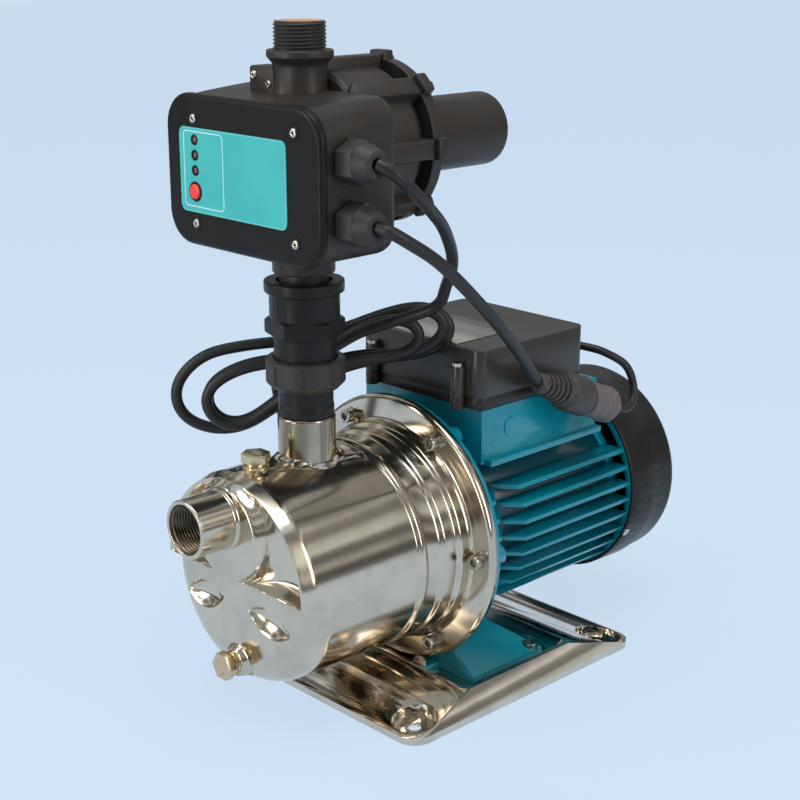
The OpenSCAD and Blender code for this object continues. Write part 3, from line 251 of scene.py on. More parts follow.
class Finish:
    """A material built from sums, ending in one shader. The world is made the same way."""

    def __init__(self, name, world=False):
        self.world = world
        self.material = (bpy.data.worlds if world else bpy.data.materials).new(name)
        self.material.use_nodes = True
        self.tree = self.material.node_tree
        self.tree.nodes.clear()
        self.place = None if world else self.node("TexCoord", {}, {}, "Object")

    def node(self, kind, settings, sockets, output=0):
        """A new node: its type without "ShaderNode", its settings, then what feeds its sockets."""
        made = self.tree.nodes.new("ShaderNode" + kind)
        for key, value in settings.items():
            setattr(made, key, value)
        for key, value in sockets.items():
            if isinstance(value, Sum):
                self.tree.links.new(value.socket, made.inputs[key])
            else:
                made.inputs[key].default_value = value
        return Sum(self, made.outputs[output])

    def number(self, kind, *values):
        """A Math node of the named kind on any values."""
        return self.node("Math", {"operation": kind}, dict(enumerate(values)))

    def axis(self, name):
        """One coordinate of the place on the object, in metres."""
        return self.node("SeparateXYZ", {}, {0: self.place}, "XYZ".index(name))

    def stretched(self, scale):
        """The place on the object, scaled by a vector."""
        return self.node("VectorMath", {"operation": "MULTIPLY"}, {0: self.place, 1: scale})

    def noise(self, scale, detail, rough, stretch=None):
        """Smooth random values round 0.5; scale is in bumps per metre."""
        vector = self.stretched(stretch) if stretch else self.place
        return self.node("TexNoise", {}, {"Vector": vector, "Scale": scale, "Detail": detail,
                                          "Roughness": rough})

    def mix(self, factor, a, b):
        """The colour a where factor is 0 and b where it is 1."""
        return self.node("Mix", {"data_type": "RGBA"}, {0: factor, 6: a, 7: b}, 2)

    def ramp(self, value, stops):
        """A colour that follows the value through (place, colour) stops."""
        made = self.tree.nodes.new("ShaderNodeValToRGB")
        self.tree.links.new(value.socket, made.inputs[0])
        band = made.color_ramp.elements
        for spot, colour in stops[2:]:
            band.new(spot)
        for element, (spot, colour) in zip(band, sorted(stops)):
            element.position, element.color = spot, colour
        return Sum(self, made.outputs[0])

    def bump(self, height):
        """A normal from a height in millimetres."""
        return self.node("Bump", {}, {"Height": height, "Distance": MM, "Strength": 1.0})

    def surface(self, **sockets):
        """The Principled surface; a name such as base_color feeds the socket Base Color."""
        names = {key.replace("_", " ").title().replace("Ior", "IOR"): value for key, value in sockets.items()}
        return self.ending(self.node("BsdfPrincipled", {}, names))

    def ending(self, shader):
        """The material or world, with the shader as what is seen."""
        out = self.tree.nodes.new("ShaderNodeOutputWorld" if self.world else "ShaderNodeOutputMaterial")
        self.tree.links.new(shader.socket, out.inputs["Surface"])
        return self.material


def shade(red, green, blue):
    """An 8-bit display colour as the linear colour that Blender mixes with."""
    values = [(c / 255 / 12.92 if c < 11 else ((c / 255 + 0.055) / 1.055) ** 2.4) for c in (red, green, blue)]
    return (*values, 1.0)


def toned(colour, times, plus=0.0):
    """The colour made darker or lighter."""
    return (*(min(1, c * times + plus) for c in colour[:3]), 1.0)


print("linear value of display grey 128:", round(shade(128, 128, 128)[0], 3))

# %% [markdown]
# ** Stainless steel.** The casing, ports and base plate are drawn from sheet and polished. What the eye
# reads as steel is the reflection: long soft streaks, slightly warm, a little wavy because drawn sheet is
# never quite even. So the metal is nearly mirror-like, with a very shallow wave in its normal, fine
# polishing lines across the streaks, and roughness that varies in patches where hands have been. The
# welded port gets painted reflection: a darker base colour, and dark streaks drawn out along its axis that
# stand for the dark room it mirrors.

# %% Steel finishes
def drawn_out(along, times, across=1.0):
    """A stretch for a noise: times along the named axis and across on the other two."""
    return tuple(times if axis == along else across for axis in "xyz")


def polished(name, base, rough, wave, lines, along, streaks=0.0):
    """Polished sheet: waves of about 4 cm, fine lines round the named axis, and painted dark reflections as
    streaks along it.
    """
    f = Finish(name)
    fine = f.noise(260, 4, 0.6, drawn_out(along, 9.0, 0.6))
    patch = f.noise(34, 3, 0.55)
    swell = f.noise(26, 2, 0.4)
    tint = f.mix(patch.soft(0.35, 0.7), base, toned(base, 0.86))
    if streaks:
        # painted reflection: dark streaks along the axis stand for a dark room mirrored in the metal
        drawn = f.noise(120, 3, 0.6, drawn_out(along, 0.03))
        tint = f.mix(drawn.soft(0.42, 0.62) * streaks, tint, toned(base, 0.4))
    return f.surface(base_color=tint, metallic=1.0, normal=f.bump(swell * wave + fine * lines),
                     roughness=rough + 0.07 * (patch - 0.5) + 0.05 * (fine - 0.5))


WARM_STEEL = shade(212, 200, 181)
steel_casing = polished("steel_casing", WARM_STEEL, 0.15, 0.14, 0.006, "y")
# the port's darker base colour and its streaks are painted reflection of a dark room
steel_port_dark_reflection = polished("steel_port_dark_reflection", shade(176, 166, 144), 0.20, 0.04, 0.012, "z", streaks=0.75)
steel_suction = polished("steel_suction", WARM_STEEL, 0.17, 0.04, 0.012, "y")
steel_base = polished("steel_base", shade(216, 206, 190), 0.10, 0.16, 0.004, "x")
steel_plated = polished("steel_plated", shade(196, 190, 180), 0.24, 0.02, 0.01, "z")
# painted shade: a darker, rougher steel for the inside of the suction port, where its bore lies in shade
steel_bore_shade = polished("steel_bore_shade", shade(112, 100, 84), 0.34, 0.02, 0.01, "y")
print("steel finishes:", 6)

# %% [markdown]
# ** Teal enamel** covers the motor castings. The film has a faint orange peel that breaks up its highlights.
# On the fins the colour is painted darker in the roots between them: painted shade, where the gaps lie in
# shadow. The distance from the shaft tells root from tip, so the painted shade needs no second mesh.

# %% Enamel
SHAFT_Z = 103.0


def enamel(name, root=None):
    """root gives the radii in metres between which painted shade darkens the colour towards the shaft."""
    f = Finish(name)
    broad = f.noise(22, 3, 0.5)
    peel = f.noise(900, 2, 0.4)
    speck = f.noise(420, 2, 0.7)
    colour = f.mix(broad.soft(0.3, 0.75), shade(0, 132, 150), shade(0, 116, 134))
    if root:
        # painted shade: the colour darkens towards the shaft, in the roots between the fins where shadow
        # falls
        far = (f.axis("X") ** 2.0 + (f.axis("Z") - SHAFT_Z * MM) ** 2.0) ** 0.5
        colour = f.mix(far.soft(*root), shade(0, 44, 58), colour)
    dusty = f.mix(speck.soft(0.68, 0.8) * 0.3, colour, shade(90, 160, 168))
    return f.surface(base_color=dusty, roughness=0.27 + 0.10 * (broad - 0.5), coat_weight=0.25,
                     coat_roughness=0.15, normal=f.bump(peel * 0.03 + broad * 0.12))


teal_enamel = enamel("teal_enamel")
# the fins' finish carries painted shade in the roots between them
teal_fins_root_shade = enamel("teal_fins_root_shade", (0.058, 0.068))
print("enamel ready")

# %% [markdown]
# **Moulded plastic.** The controller, the union and the covers are black glass-filled nylon: dark, satin,
# with a fine spark-eroded grain. The grain's depth and the sheen differ from part to part, so one function
# makes them all.

# %% Plastics
def moulded(name, colour, rough, grain, grain_size=1500, sheen=0.32):
    """Satin plastic: grain is the depth of its texture in millimetres, grain_size its bumps per metre."""
    f = Finish(name)
    fine = f.noise(grain_size, 2, 0.55)
    flow = f.noise(18, 4, 0.6)
    worn = f.noise(70, 4, 0.65)
    tone = f.mix(flow.soft(0.3, 0.8) * 0.5 + worn.soft(0.6, 0.85) * 0.3, colour, toned(colour, 1.55, 0.004))
    return f.surface(base_color=tone, roughness=rough + 0.10 * (worn - 0.5) + 0.05 * (fine - 0.5),
                     specular_ior_level=sheen, normal=f.bump(fine * grain))


black_cover = moulded("black_cover", shade(24, 22, 21), 0.34, 0.010, 1700, sheen=0.15)
black_body = moulded("black_body", shade(44, 39, 35), 0.40, 0.012, 1500, sheen=0.3)
black_union = moulded("black_union", shade(33, 31, 31), 0.34, 0.010, 1600, sheen=0.17)
black_box = moulded("black_box", shade(36, 31, 28), 0.40, 0.02, 1300)
black_lid = moulded("black_lid", shade(46, 43, 39), 0.33, 0.02, 1300, sheen=0.5)
black_fan_cover = moulded("black_fan_cover", shade(30, 28, 26), 0.32, 0.008, 1500, sheen=0.2)
black_nut = moulded("black_nut", shade(52, 50, 48), 0.42, 0.02, 1200, sheen=0.2)
inner_black = moulded("inner_black", shade(34, 34, 35), 0.45, 0.01)
white_case = moulded("white_case", shade(226, 225, 220), 0.35, 0.01)
print("plastics:", 9)

# %% [markdown]
# **Rubber** is dull and slightly dusty: the dust lies in patches a few millimetres wide, paler and rougher
# than the rubber itself. **Brass and copper** are turned, so a very fine noise is drawn out into rings
# round the axis of the lathe, and a darker tarnish lies over them in patches.

# %% Rubber and turned metals
def rubber(name, colour, rough):
    """Dull rubber with paler dust on it."""
    f = Finish(name)
    dust = f.noise(240, 4, 0.6)
    fine = f.noise(2400, 2, 0.5)
    tone = f.mix(dust.soft(0.45, 0.8) * 0.6, colour, toned(colour, 2.1, 0.004))
    return f.surface(base_color=tone, roughness=rough + 0.14 * (dust - 0.5), specular_ior_level=0.35,
                     normal=f.bump(fine * 0.02 + dust * 0.05))


def turned_metal(name, base, rough, axis):
    """Brass, copper or steel with the rings a lathe tool leaves and a patchy tarnish."""
    f = Finish(name)
    rings = f.noise(320, 3, 0.6, drawn_out(axis, 14.0))
    tarnish = f.noise(160, 4, 0.6)
    tone = f.mix(tarnish.soft(0.5, 0.85) * 0.7, base, toned(base, 0.55))
    return f.surface(base_color=tone, metallic=1.0, roughness=rough + 0.12 * (tarnish - 0.5),
                     normal=f.bump(rings * 0.02))


cord_rubber = rubber("cord_rubber", shade(32, 31, 31), 0.42)
plug_rubber = rubber("plug_rubber", shade(58, 53, 52), 0.44)
socket_rubber = rubber("socket_rubber", shade(92, 84, 83), 0.5)
seal_rubber = rubber("seal_rubber", shade(30, 30, 31), 0.6)
brass = turned_metal("brass", shade(212, 196, 156), 0.24, "z")
brass_front = turned_metal("brass_front", shade(214, 188, 156), 0.24, "y")
copper = turned_metal("copper", shade(196, 126, 84), 0.3, "z")
inner_steel = turned_metal("inner_steel", shade(150, 148, 144), 0.3, "y")
ceramic = moulded("ceramic", shade(222, 218, 208), 0.25, 0.004)
print("rubber and metals ready")

# %% [markdown]
# **Small bright parts.** The lights are dull tinted lenses, the button is a bright red moulding, and the
# outlet's bore is tan. All are smooth and only slightly faded, so one function with little in it is enough.
# It also makes the green of the circuit board inside.

# %% Lenses, button and bore
def smooth_moulding(name, colour, rough):
    """One colour, a tenth darker in broad patches, under a barely visible grain."""
    f = Finish(name)
    grain = f.noise(2600, 2, 0.5)
    fade = f.noise(30, 2, 0.5)
    tone = f.mix(fade.soft(0.3, 0.8) * 0.5, colour, toned(colour, 0.9))
    return f.surface(base_color=tone, roughness=rough + 0.06 * (fade - 0.5), normal=f.bump(grain * 0.006))


lens_red = smooth_moulding("lens_red", shade(112, 60, 62), 0.2)
button_red = smooth_moulding("button_red", shade(255, 62, 52), 0.3)
circuit_green = smooth_moulding("circuit_green", shade(40, 110, 74), 0.4)
tan_bore = smooth_moulding("tan_bore", shade(196, 160, 120), 0.5)
print("small parts ready")

# %% [markdown]
# ## The pressed casing
#
# The casing is drawn from one sheet, and its front shows all that a press can do: a round pad for the
# suction port, a sharp shoulder above the shaft, two smooth hollows between pad and shoulder, and a pair
# of eye-shaped dents below. It is the hardest shape of the pump, so it is one surface with a formula: a
# grid of circles round the shaft, where each point lies as deep as the front is at its place.

# %% Depth of the casing's front
CASING_Y, CASING_R = -174.0, 74.0
CORNER_R = 22
SHOULDER_DEPTH, HOLLOW_DEPTH, EYE_DEPTH = 9, 15.5, 6.5
PAD_Z, PAD_R, PAD_HEIGHT = 36.5, 34.5, 8
DRAIN_Z, BOSS_HEIGHT = -57, 4
EYE_X, EYE_Z, EYE_REACH, EYE_HALF = 34, -19, 21, 9.5
EYE_COS, EYE_SIN = 0.99, 0.139


def ease(value, low, high):
    """Smooth step: 0 at low, 1 at high and 3t^2 - 2t^3 between."""
    t = np.clip((value - low) / (high - low), 0, 1)
    return t * t * (3 - 2 * t)


def hollow(*gaps):
    """About the smallest of 1 - exp(-gap/length) over (gap, length) pairs, without a crease."""
    total = 0
    for gap, length in gaps:
        total = total + np.maximum(1 - np.exp(-np.clip(gap, 0, None) / length), 1e-3) ** -4.0
    return total ** -0.25


def eye(x, z):
    """An eye of 42 by 19 mm, tilted by 8 degrees: 1 in the middle, with a steep upper lid."""
    along = (x - EYE_X) * EYE_COS - (z - EYE_Z) * EYE_SIN
    across = (x - EYE_X) * EYE_SIN + (z - EYE_Z) * EYE_COS
    taper = np.clip(1 - (along / EYE_REACH) ** 2, 1e-3, 1)
    t = across / (EYE_HALF * taper)
    lid = np.clip(1 - np.where(t > 0, np.abs(t) ** 7, np.abs(t) ** 2.2), 0, 1)
    return np.where(np.abs(along) < EYE_REACH, lid * taper ** 0.8, 0)


def front_depth(x, z):
    """Depth behind the front plane at (x, z) from the shaft.

    Below the shaft the front has a round corner, above it a shoulder and the two hollows. The eyes come on
    top of that, and the suction port's pad and the drain plug's boss stand forward of it.
    """
    ring = np.hypot(x, z)
    upper = ease(z, -0.4, 1.8)
    round_part = np.clip(ring - (CASING_R - CORNER_R), 0, CORNER_R)
    corner = CORNER_R - np.sqrt(CORNER_R ** 2 - round_part ** 2)
    shoulder = SHOULDER_DEPTH * np.clip((ring - 71) / 3, 0, 1) - ease(ring, 58, 69)
    past_pad = np.hypot(x, z - PAD_Z) - PAD_R
    pressed = hollow((past_pad, 8.0), (68 - ring, 4.2), (z - 2.0, 7.0)) * (past_pad > 0)
    depth = upper * shoulder + (1 - upper) * corner + HOLLOW_DEPTH * pressed + EYE_DEPTH * eye(np.abs(x), z)
    pad = 1 - ease(past_pad, -3.2, 1.4)
    boss = 1 - ease(np.hypot(x, z - DRAIN_Z), 9.2, 12.5)
    depth = depth * (1 - pad) - PAD_HEIGHT * pad
    return depth * (1 - boss) - BOSS_HEIGHT * boss


print("depth at the shaft and in the right hollow:", round(float(front_depth(0.1, -8)), 2),
      round(float(front_depth(50, 30)), 2))

# %% [markdown]
# Behind the front the circles run along the side, past a bead and two low steps and out into the flange.
# On top, three forms rise from the cylinder: a saddle that widens towards the flange, the flat seat of the
# priming plug, and a small flare where the discharge port is welded on. The faces where the ports open are
# taken out, and Solidify gives the sheet its thickness.

# %% The casing's sheet
PORT_Y, PRIMING_Y = -110.0, -154.0
SUCTION_Z = 150.4
PORT_HOLE = 17.6
SADDLE_HEIGHT, SEAT_HEIGHT, FLARE_HEIGHT = 1.3, 75.6, 2.4
SHEET_THICKNESS = 1.5


def crest(x, y, z):
    """The upper side with its saddle, plug seat and flare added, for y along the pump."""
    half = 10 + 13 * np.clip((y + 152) / 80, 0, 1)
    saddle = (1 - ease(np.abs(x), half - 1.6, half + 0.4)) * ease(y, -166, -154) * (1 - ease(y, -82, -75))
    grow = 1 + SADDLE_HEIGHT / CASING_R * saddle * (z > 0)
    seat = (1 - ease(np.hypot(x, y - PRIMING_Y), 9.2, 12.0)) * (z > 0)
    flare = FLARE_HEIGHT * (1 - ease(np.hypot(x, y - PORT_Y), 19.3, 24.5)) * (z > 0)
    return x * grow, z * grow * (1 - seat) + SEAT_HEIGHT * seat + flare


def casing_grid(cols=256):
    """Circles round the shaft: over the front, back along the side and out to the flange's rolled edge."""
    t = around(cols)[None, :]
    ring = np.concatenate([np.linspace(0, 48, 30), np.linspace(49.3, 70, 18),
                           np.linspace(70.6, CASING_R, 10)])[:, None]
    x, z = ring * np.cos(t), ring * np.sin(t)
    y = CASING_Y + front_depth(x, z)
    side = y[-1:] + (CASING_Y + 27 - y[-1:]) * np.linspace(0, 1, 8)[1:, None]
    line = rounded([(74, 96), (74, 98, 1.5), (76, 100, 1), (76, 103, 1), (74, 105.5, 1.5), (74, 118, 1.5),
                    (76.5, 121, 1.2), (76.5, 131, 1.2), (79, 133.5, 1.2), (79, 140, 1), (80.2, 143, 1.4),
                    (97.5, 143, 3.6), (97.5, 149)], 3)
    radius = np.concatenate([np.full(len(side) + 32, CASING_R), line[:, 0]])[:, None]
    back = np.concatenate([np.linspace(29, 94.5, 32), line[:, 1]])[:, None] + CASING_Y + 0 * t
    y_side = np.concatenate([side, back])
    x_side, z_side = crest(radius * np.cos(t), y_side, radius * np.sin(t))
    return np.stack([np.concatenate([x, x_side]), np.concatenate([y, y_side]),
                     np.concatenate([z, z_side]) + SHAFT_Z], -1)


def face_middles(mesh):
    """The middles of a mesh's faces in millimetres, as the three arrays x, y and z."""
    middles = np.empty(3 * len(mesh.polygons), np.float32)
    mesh.polygons.foreach_get("center", middles)
    return middles.reshape(-1, 3).T / MM


def pierced(thing, inside):
    """The piece without the faces whose middles lie inside, given as a test on x, y and z."""
    work = bmesh.new()
    work.from_mesh(thing.data)
    work.faces.ensure_lookup_table()
    gone = [work.faces[k] for k in np.flatnonzero(inside(*face_middles(thing.data)))]
    bmesh.ops.delete(work, geom=gone, context="FACES")
    work.to_mesh(thing.data)
    work.free()


def painted(thing, finish, inside):
    """A second finish on the faces whose middles lie inside, given as the same kind of test."""
    thing.data.materials.append(finish)
    second = inside(*face_middles(thing.data)).astype(np.int32)
    thing.data.polygons.foreach_set("material_index", second)


casing = piece("casing_sheet", casing_grid(), steel_casing, replaces="pump_casing", smooth_angle=42)
pierced(casing, lambda x, y, z: ((y < -160) & (np.hypot(x, z - SUCTION_Z) < PORT_HOLE))
        | ((z > 140) & (np.hypot(x, y - PORT_Y) < PORT_HOLE)))
sheet = casing.modifiers.new("sheet", "SOLIDIFY")
sheet.thickness, sheet.offset = SHEET_THICKNESS * MM, -1
print("casing:", len(casing.data.polygons), "faces")

# %% [markdown]
# Both ports are short tubes with a rolled lip. The suction port shows its thread: the radius rises and
# falls with the depth and with the angle together, which winds the crests into a helix. The rows that a
# wave is to shape carry their radius as a negative number, which is how it knows them from plain ones.

# %% Ports
THREAD_PITCH = 2.31
MOUTH_R = 16.6
UPRIGHT = np.array([0.0, PORT_Y, 0.0])


def thread(height):
    """A helical wave, height mm either way, on the rows whose radius is negative."""
    def wave(t, r, h):
        """The radius at angle t and height h."""
        return np.where(r < 0, -r + height * np.cos(2 * pi * h / THREAD_PITCH - t), r)
    return wave


def marked(radii, heights):
    """Rows whose radius is to be shaped: the radius is stored as a negative number."""
    return np.stack([-np.array(radii, float), np.array(heights, float)], -1)


suction_line = np.concatenate([
    rounded([(15.2, -167), (19.5, -167), (19.5, -181, 1), (20.8, -182.2, 0.6), (20.8, -185, 0.8),
             (19.5, -186.2, 1), (19.5, -212.3, 0.3), (18.9, -213, 0.3), (16.9, -213, 0.3), (16.2, -212)]),
    marked([15.75] * 76, np.linspace(-211.4, -189.5, 76)), [(15.2, -188.5), (15.2, -167)]])
mouth = piece("suction_tube", turned(suction_line, "y", (0, 0, SUCTION_Z), 96, thread(0.6)), steel_suction,
              replaces="suction_port")
# painted shade on the bore's wall and thread
painted(mouth, steel_bore_shade, lambda x, y, z: np.hypot(x, z - SUCTION_Z) < MOUTH_R)
discharge_line = rounded([(16.8, 168), (19.5, 168), (19.5, 204.9, 0.5), (18.8, 206, 0.5), (16.8, 206),
                          (16.8, 168)])
piece("discharge_tube", turned(discharge_line, "z", UPRIGHT, 128), steel_port_dark_reflection, replaces="discharge_port")
print("ports: 2")

# %% [markdown]
# ## The controller
#
# The front cover is a frame with a window under the label, so its grid is a ring: from the window's edge
# out over the flat face, round the moulded edge to the seam, and back inside. The body behind it is a
# deep box with the same outline, and the round pressure chamber stands on its back.

# %% Front cover
FACE_Y, FACE_Z = -160.0, 368.0
COVER_W, COVER_H, COVER_CORNER = 152, 97, 22
EDGE_R, WALL, SEAM_Y = 3.0, 3, FACE_Y + 5.98


def inset(by, y):
    """A row with the cover's outline, moved in by a distance."""
    return COVER_W - 2 * by, COVER_H - 2 * by, COVER_CORNER - by, y, 0, FACE_Z


window = [(98, 46, 3, FACE_Y + depth, -8, FACE_Z + 0.5) for depth in (2.0, 0)]
flat = [inset(by, FACE_Y) for by in (WALL + 8, WALL + 4, WALL + 1)]
bend = np.linspace(0, pi / 2, 6)
edge = [inset(EDGE_R * (1 - sin(a)), FACE_Y + EDGE_R * (1 - cos(a))) for a in bend]
seam = [inset(0, FACE_Y + 5.3), inset(0.7, FACE_Y + 5.6), inset(0.7, SEAM_Y), inset(WALL, SEAM_Y),
        inset(WALL, FACE_Y + 2.0)]
cover_grid = layered(window + flat + edge + seam + window[:1], steps=10)
piece("cover_frame", cover_grid, black_cover, replaces="front_cover", smooth_angle=50)
print("cover:", cover_grid.shape[:2])

# %% [markdown]
# The screws sit in raised rings, each light has a black bezel with a domed lens, and the button stands in a
# bezel of its own, on a body that slides. The recess of a screw is a cross: its radius swells four times
# round the axis.

# %% Screws, lights and button
def cross(t, r, h):
    """Rows inside 1.7 mm swell into four arms."""
    return np.where(r < 1.7, r * (1 + 0.45 * np.cos(4 * t)), r)


def screw_head(x, y, z, radius):
    """A pan head with a cross recess, its top towards -y and standing on y."""
    line = rounded([(0, 0.6), (0.75, 0.35), (1.05, -0.75), (radius * 0.62, -0.95, 0.3),
                    (radius * 0.9, -0.6, 0.4), (radius, 0.1, 0.2), (radius, 1.4), (0, 1.4)], 3)
    return turned(line, "y", (x, y, z), 40, cross)


def bezel(x, z, inner, outer, height):
    """A ring round a light or the button, height mm proud of the face."""
    line = rounded([(inner, 0.9), (inner, -height * 0.8, 0.2), ((inner + outer) / 2, -height, 0.4),
                    (outer, 0.05, 0.2), (outer, 0.9), (inner, 0.9)], 3)
    return turned(line, "y", (x, FACE_Y, z), 48)


SCREWS = [(x, FACE_Z - 0.3 + s * 33.4) for x in (-46.5, 52.0) for s in (-1, 1)]
LIGHTS = [(-45.0, 368.4 + 9.7 * k) for k in range(3)]
BUTTON = (-45.5, 354.9)
piece("cover_screw_heads", [screw_head(x, FACE_Y - 0.25, z, 3.1) for x, z in SCREWS], steel_plated,
      replaces="cover_screws")
piece("cover_rings", [bezel(x, z, 3.25, 4.9, 0.7) for x, z in SCREWS]
      + [bezel(x, z, 2.45, 3.9, 1.25) for x, z in LIGHTS] + [bezel(*BUTTON, 5.25, 6.9, 1.35)], black_cover)
lens = rounded([(0, -1.15), (1.3, -1.05, 0.5), (2.3, -0.4, 0.5), (2.4, 2), (0, 2)], 4)
piece("light_lenses", [turned(lens, "y", (x, FACE_Y, z), 32) for x, z in LIGHTS], lens_red,
      replaces="indicator_lights")
cap = rounded([(0, -2.25), (3.2, -2.2, 0.8), (4.9, -1.8, 0.7), (5.0, 1.5), (5.0, 2.9), (6.4, 2.9),
               (6.4, 3.9), (0, 3.9)], 4)
piece("button_cap", turned(cap, "y", (BUTTON[0], FACE_Y, BUTTON[1]), 64), button_red, body="button",
      replaces="reset_button")
print("screws, lights and button:", len(SCREWS), len(LIGHTS), 1)

# %% [markdown]
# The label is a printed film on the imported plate. A thin white line frames the lights and the button, and
# the label has a paler edge: each is where the distance to a rounded rectangle is nearly zero.

# %% Label
# middle x, middle z, half width, half height and corner, all in metres
LIGHTS_FRAME = (-0.03645, 0.36915, 0.02005, 0.02385, 0.003)
LABEL_EDGE = (-0.008, 0.3685, 0.053, 0.027, 0.005)


def label_face():
    """Teal print with a white line round the lights and a paler edge."""
    f = Finish("label_print")
    tone = f.mix(f.noise(24, 2, 0.5).soft(0.3, 0.8) * 0.6, shade(62, 190, 186), shade(52, 176, 174))
    grain = f.noise(2600, 2, 0.5)

    def distance(x, z, half_x, half_z, corner):
        """Metres to a rounded rectangle round (x, z), negative inside it."""
        across = (abs(f.axis("X") - x) - (half_x - corner)).maths("MAXIMUM", 0.0)
        up = (abs(f.axis("Z") - z) - (half_z - corner)).maths("MAXIMUM", 0.0)
        return (across * across + up * up) ** 0.5 - corner

    line = 1.0 - abs(distance(*LIGHTS_FRAME)).over(0.00028, 0.00045)
    border = distance(*LABEL_EDGE).over(-0.0011, -0.0008)
    edged = f.mix(border * 0.5, tone, shade(110, 214, 208))
    printed = f.mix(line * 0.9, edged, shade(214, 240, 238))
    return f.surface(base_color=printed, roughness=0.34 + 0.05 * (grain - 0.5),
                     normal=f.bump(grain * 0.006))


label_print = label_face()
print("label ready")

# %% [markdown]
# Behind the cover the body is a deep box that rises a little towards the round chamber. Eight ribs run
# along the chamber to the clamp ring. The outlet on top ends in a male thread round a tan bore, and the small
# block beside it holds two screws.

# %% Controller body
CHAMBER_Z = 381.0
RIB_COUNT = 8
BLOCK_X, BLOCK_Z, BLOCK_Y = -18, 423.3, -127
TAN_R, TAN_FROM = 14.9, 422


def bar(width, height, corner, steps, x, z, ends):
    """A closed bar along y: each end is (inset, y), so that its edges are rounded off."""
    return capped(layered([(width - 2 * s, height - 2 * s, max(corner - s, 0.1), y, x, z) for s, y in ends],
                          steps))


def ribs(inner, outer, half, start, end, soft):
    """Eight bars from start to end, between two radii, turned about the chamber's axis."""
    ends = ((soft, start), (0.3 * soft, start + 0.3 * soft), (0, start + soft),
            (0, end - soft), (0.3 * soft, end - 0.3 * soft), (soft, end))
    rib = bar(2 * half, outer - inner, soft, 3, 0, (inner + outer) / 2, ends)
    return [rib @ np.array([[cos(a), 0, -sin(a)], [0, 1, 0], [sin(a), 0, cos(a)]]) + [0, 0, CHAMBER_Z]
            for a in around(RIB_COUNT)]


box_rows = [(146, 93, 19, -154.2, 0), (148, 95, 20, -153.9, 0), (148, 95, 20, -150, 0),
            (148, 95.6, 19, -140, 0.8), (147.6, 96.6, 17, -120, 1.8), (147.2, 97.4, 16, -103, 2.6),
            (146.6, 96.8, 16, -100.4, 2.6), (145, 95.2, 15.4, -98, 2.6), (142, 92.2, 14, -96.6, 2.6),
            (138, 88.2, 12, -96.2, 2.6)]
box = capped(layered([(*row, 0, FACE_Z + rise) for *row, rise in box_rows], steps=12))
chamber_line = rounded([(0, -99), (47.5, -99), (50, -96.5, 1.5), (50, -53, 2), (44.5, -51.5, 0.6),
                        (44.5, -46.4), (30, -46.4), (30, -70.5), (0, -70.5)], 4)
neck_line = rounded([(16.6, 293), (16.6, 302.4), (20.6, 303, 0.8), (20.6, 330), (13.6, 330), (13.6, 293),
                     (16.6, 293)], 3)
outlet_line = np.concatenate([
    rounded([(12.5, 420), (19, 412), (17.2, 424, 6), (17.2, 435, 2), (20.4, 438.6, 1), (21.2, 439.4, 0.6),
             (21.2, 443, 0.7), (20.6, 443.8, 0.4), (16.4, 443.8)], 4),
    marked([16.25] * 88, np.linspace(444.6, 460.2, 88)),
    [(15.9, 460.8), (15.3, 461.5), (13.4, 461.5), (12.7, 460.8), (12.5, 459), (12.5, 420)]])
block = bar(24, 20, 2.2, 4, BLOCK_X, BLOCK_Z,
            ((1.2, BLOCK_Y), (0.3, BLOCK_Y + 0.4), (0, BLOCK_Y + 1.2), (0, BLOCK_Y + 15)))
shell = piece("controller_shell",
              [turned(chamber_line, "y", (0, 0, CHAMBER_Z), 128), turned(neck_line, "z", UPRIGHT, 64),
               turned(outlet_line, "z", UPRIGHT, 112, thread(0.5))] + ribs(30, 56.6, 6.5, -98.5, -46.4, 1.6),
              black_body, replaces="controller_body", smooth_angle=40)
painted(shell, tan_bore, lambda x, y, z: (z > TAN_FROM) & (np.hypot(x, y - PORT_Y) < TAN_R))
piece("controller_box", [box, block], black_body, smooth_angle=40)
piece("block_screws", [screw_head(BLOCK_X - 7.5, BLOCK_Y - 0.2, BLOCK_Z + 4.2, 2.9),
                       screw_head(BLOCK_X + 7.5, BLOCK_Y - 0.2, BLOCK_Z - 0.5, 2.2)], steel_plated)
print("controller body:", len(shell.data.polygons), "faces")

# %% [markdown]
# The rear cap carries the clamp ring with its eight lugs, each with a socket-headed screw, and the long
# spring housing with its domed end. It is hollow, because the piston and the spring move in it.

# %% Rear cap
LUG_R = 52
cap_line = rounded([(30, -45.2), (53.6, -45.2), (54, -44.6, 0.5), (54, -36.6, 1.0), (52.5, -36, 1),
                    (33, -36, 2), (26.4, -33, 4), (25.5, -28, 2), (25.5, 50), (25.3, 56.8, 4), (16, 61, 6),
                    (0, 61), (0, 49), (20.5, 49), (20.5, -40.5), (30, -40.5), (30, -45.2)], 7)
piece("rear_cap_shell",
      [turned(cap_line, "y", (0, 0, CHAMBER_Z), 144)] + ribs(40, 59, 7, -45.1, -36.4, 1.3),
      black_body, replaces="rear_cap", smooth_angle=40)
hex_socket = rounded([(0, -1.5), (1.7, -1.5), (2.1, 1.6, 0.1), (2.5, 2.0), (3.7, 2.0, 0.5), (4.25, 1.6, 0.4),
                      (4.25, -2), (0, -2)], 3)
piece("rear_cap_heads", [turned(hex_socket, "y", (LUG_R * sin(a), -34.4, CHAMBER_Z + LUG_R * cos(a)), 32)
                         for a in around(RIB_COUNT)], black_nut, replaces="rear_cap_screws")
print("rear cap: one shell and", RIB_COUNT, "screws")

# %% [markdown]
# ## The union
#
# Three turned pieces join the pump to the controller: a tail, a nut and a body. The nut has eight broad
# lobes with narrow grooves between them. The body carries a hexagon, and its corners are cut by a cone at
# both ends, so each row's radius is the smaller of two: the hexagon's at that angle, and the cone's at that
# height.

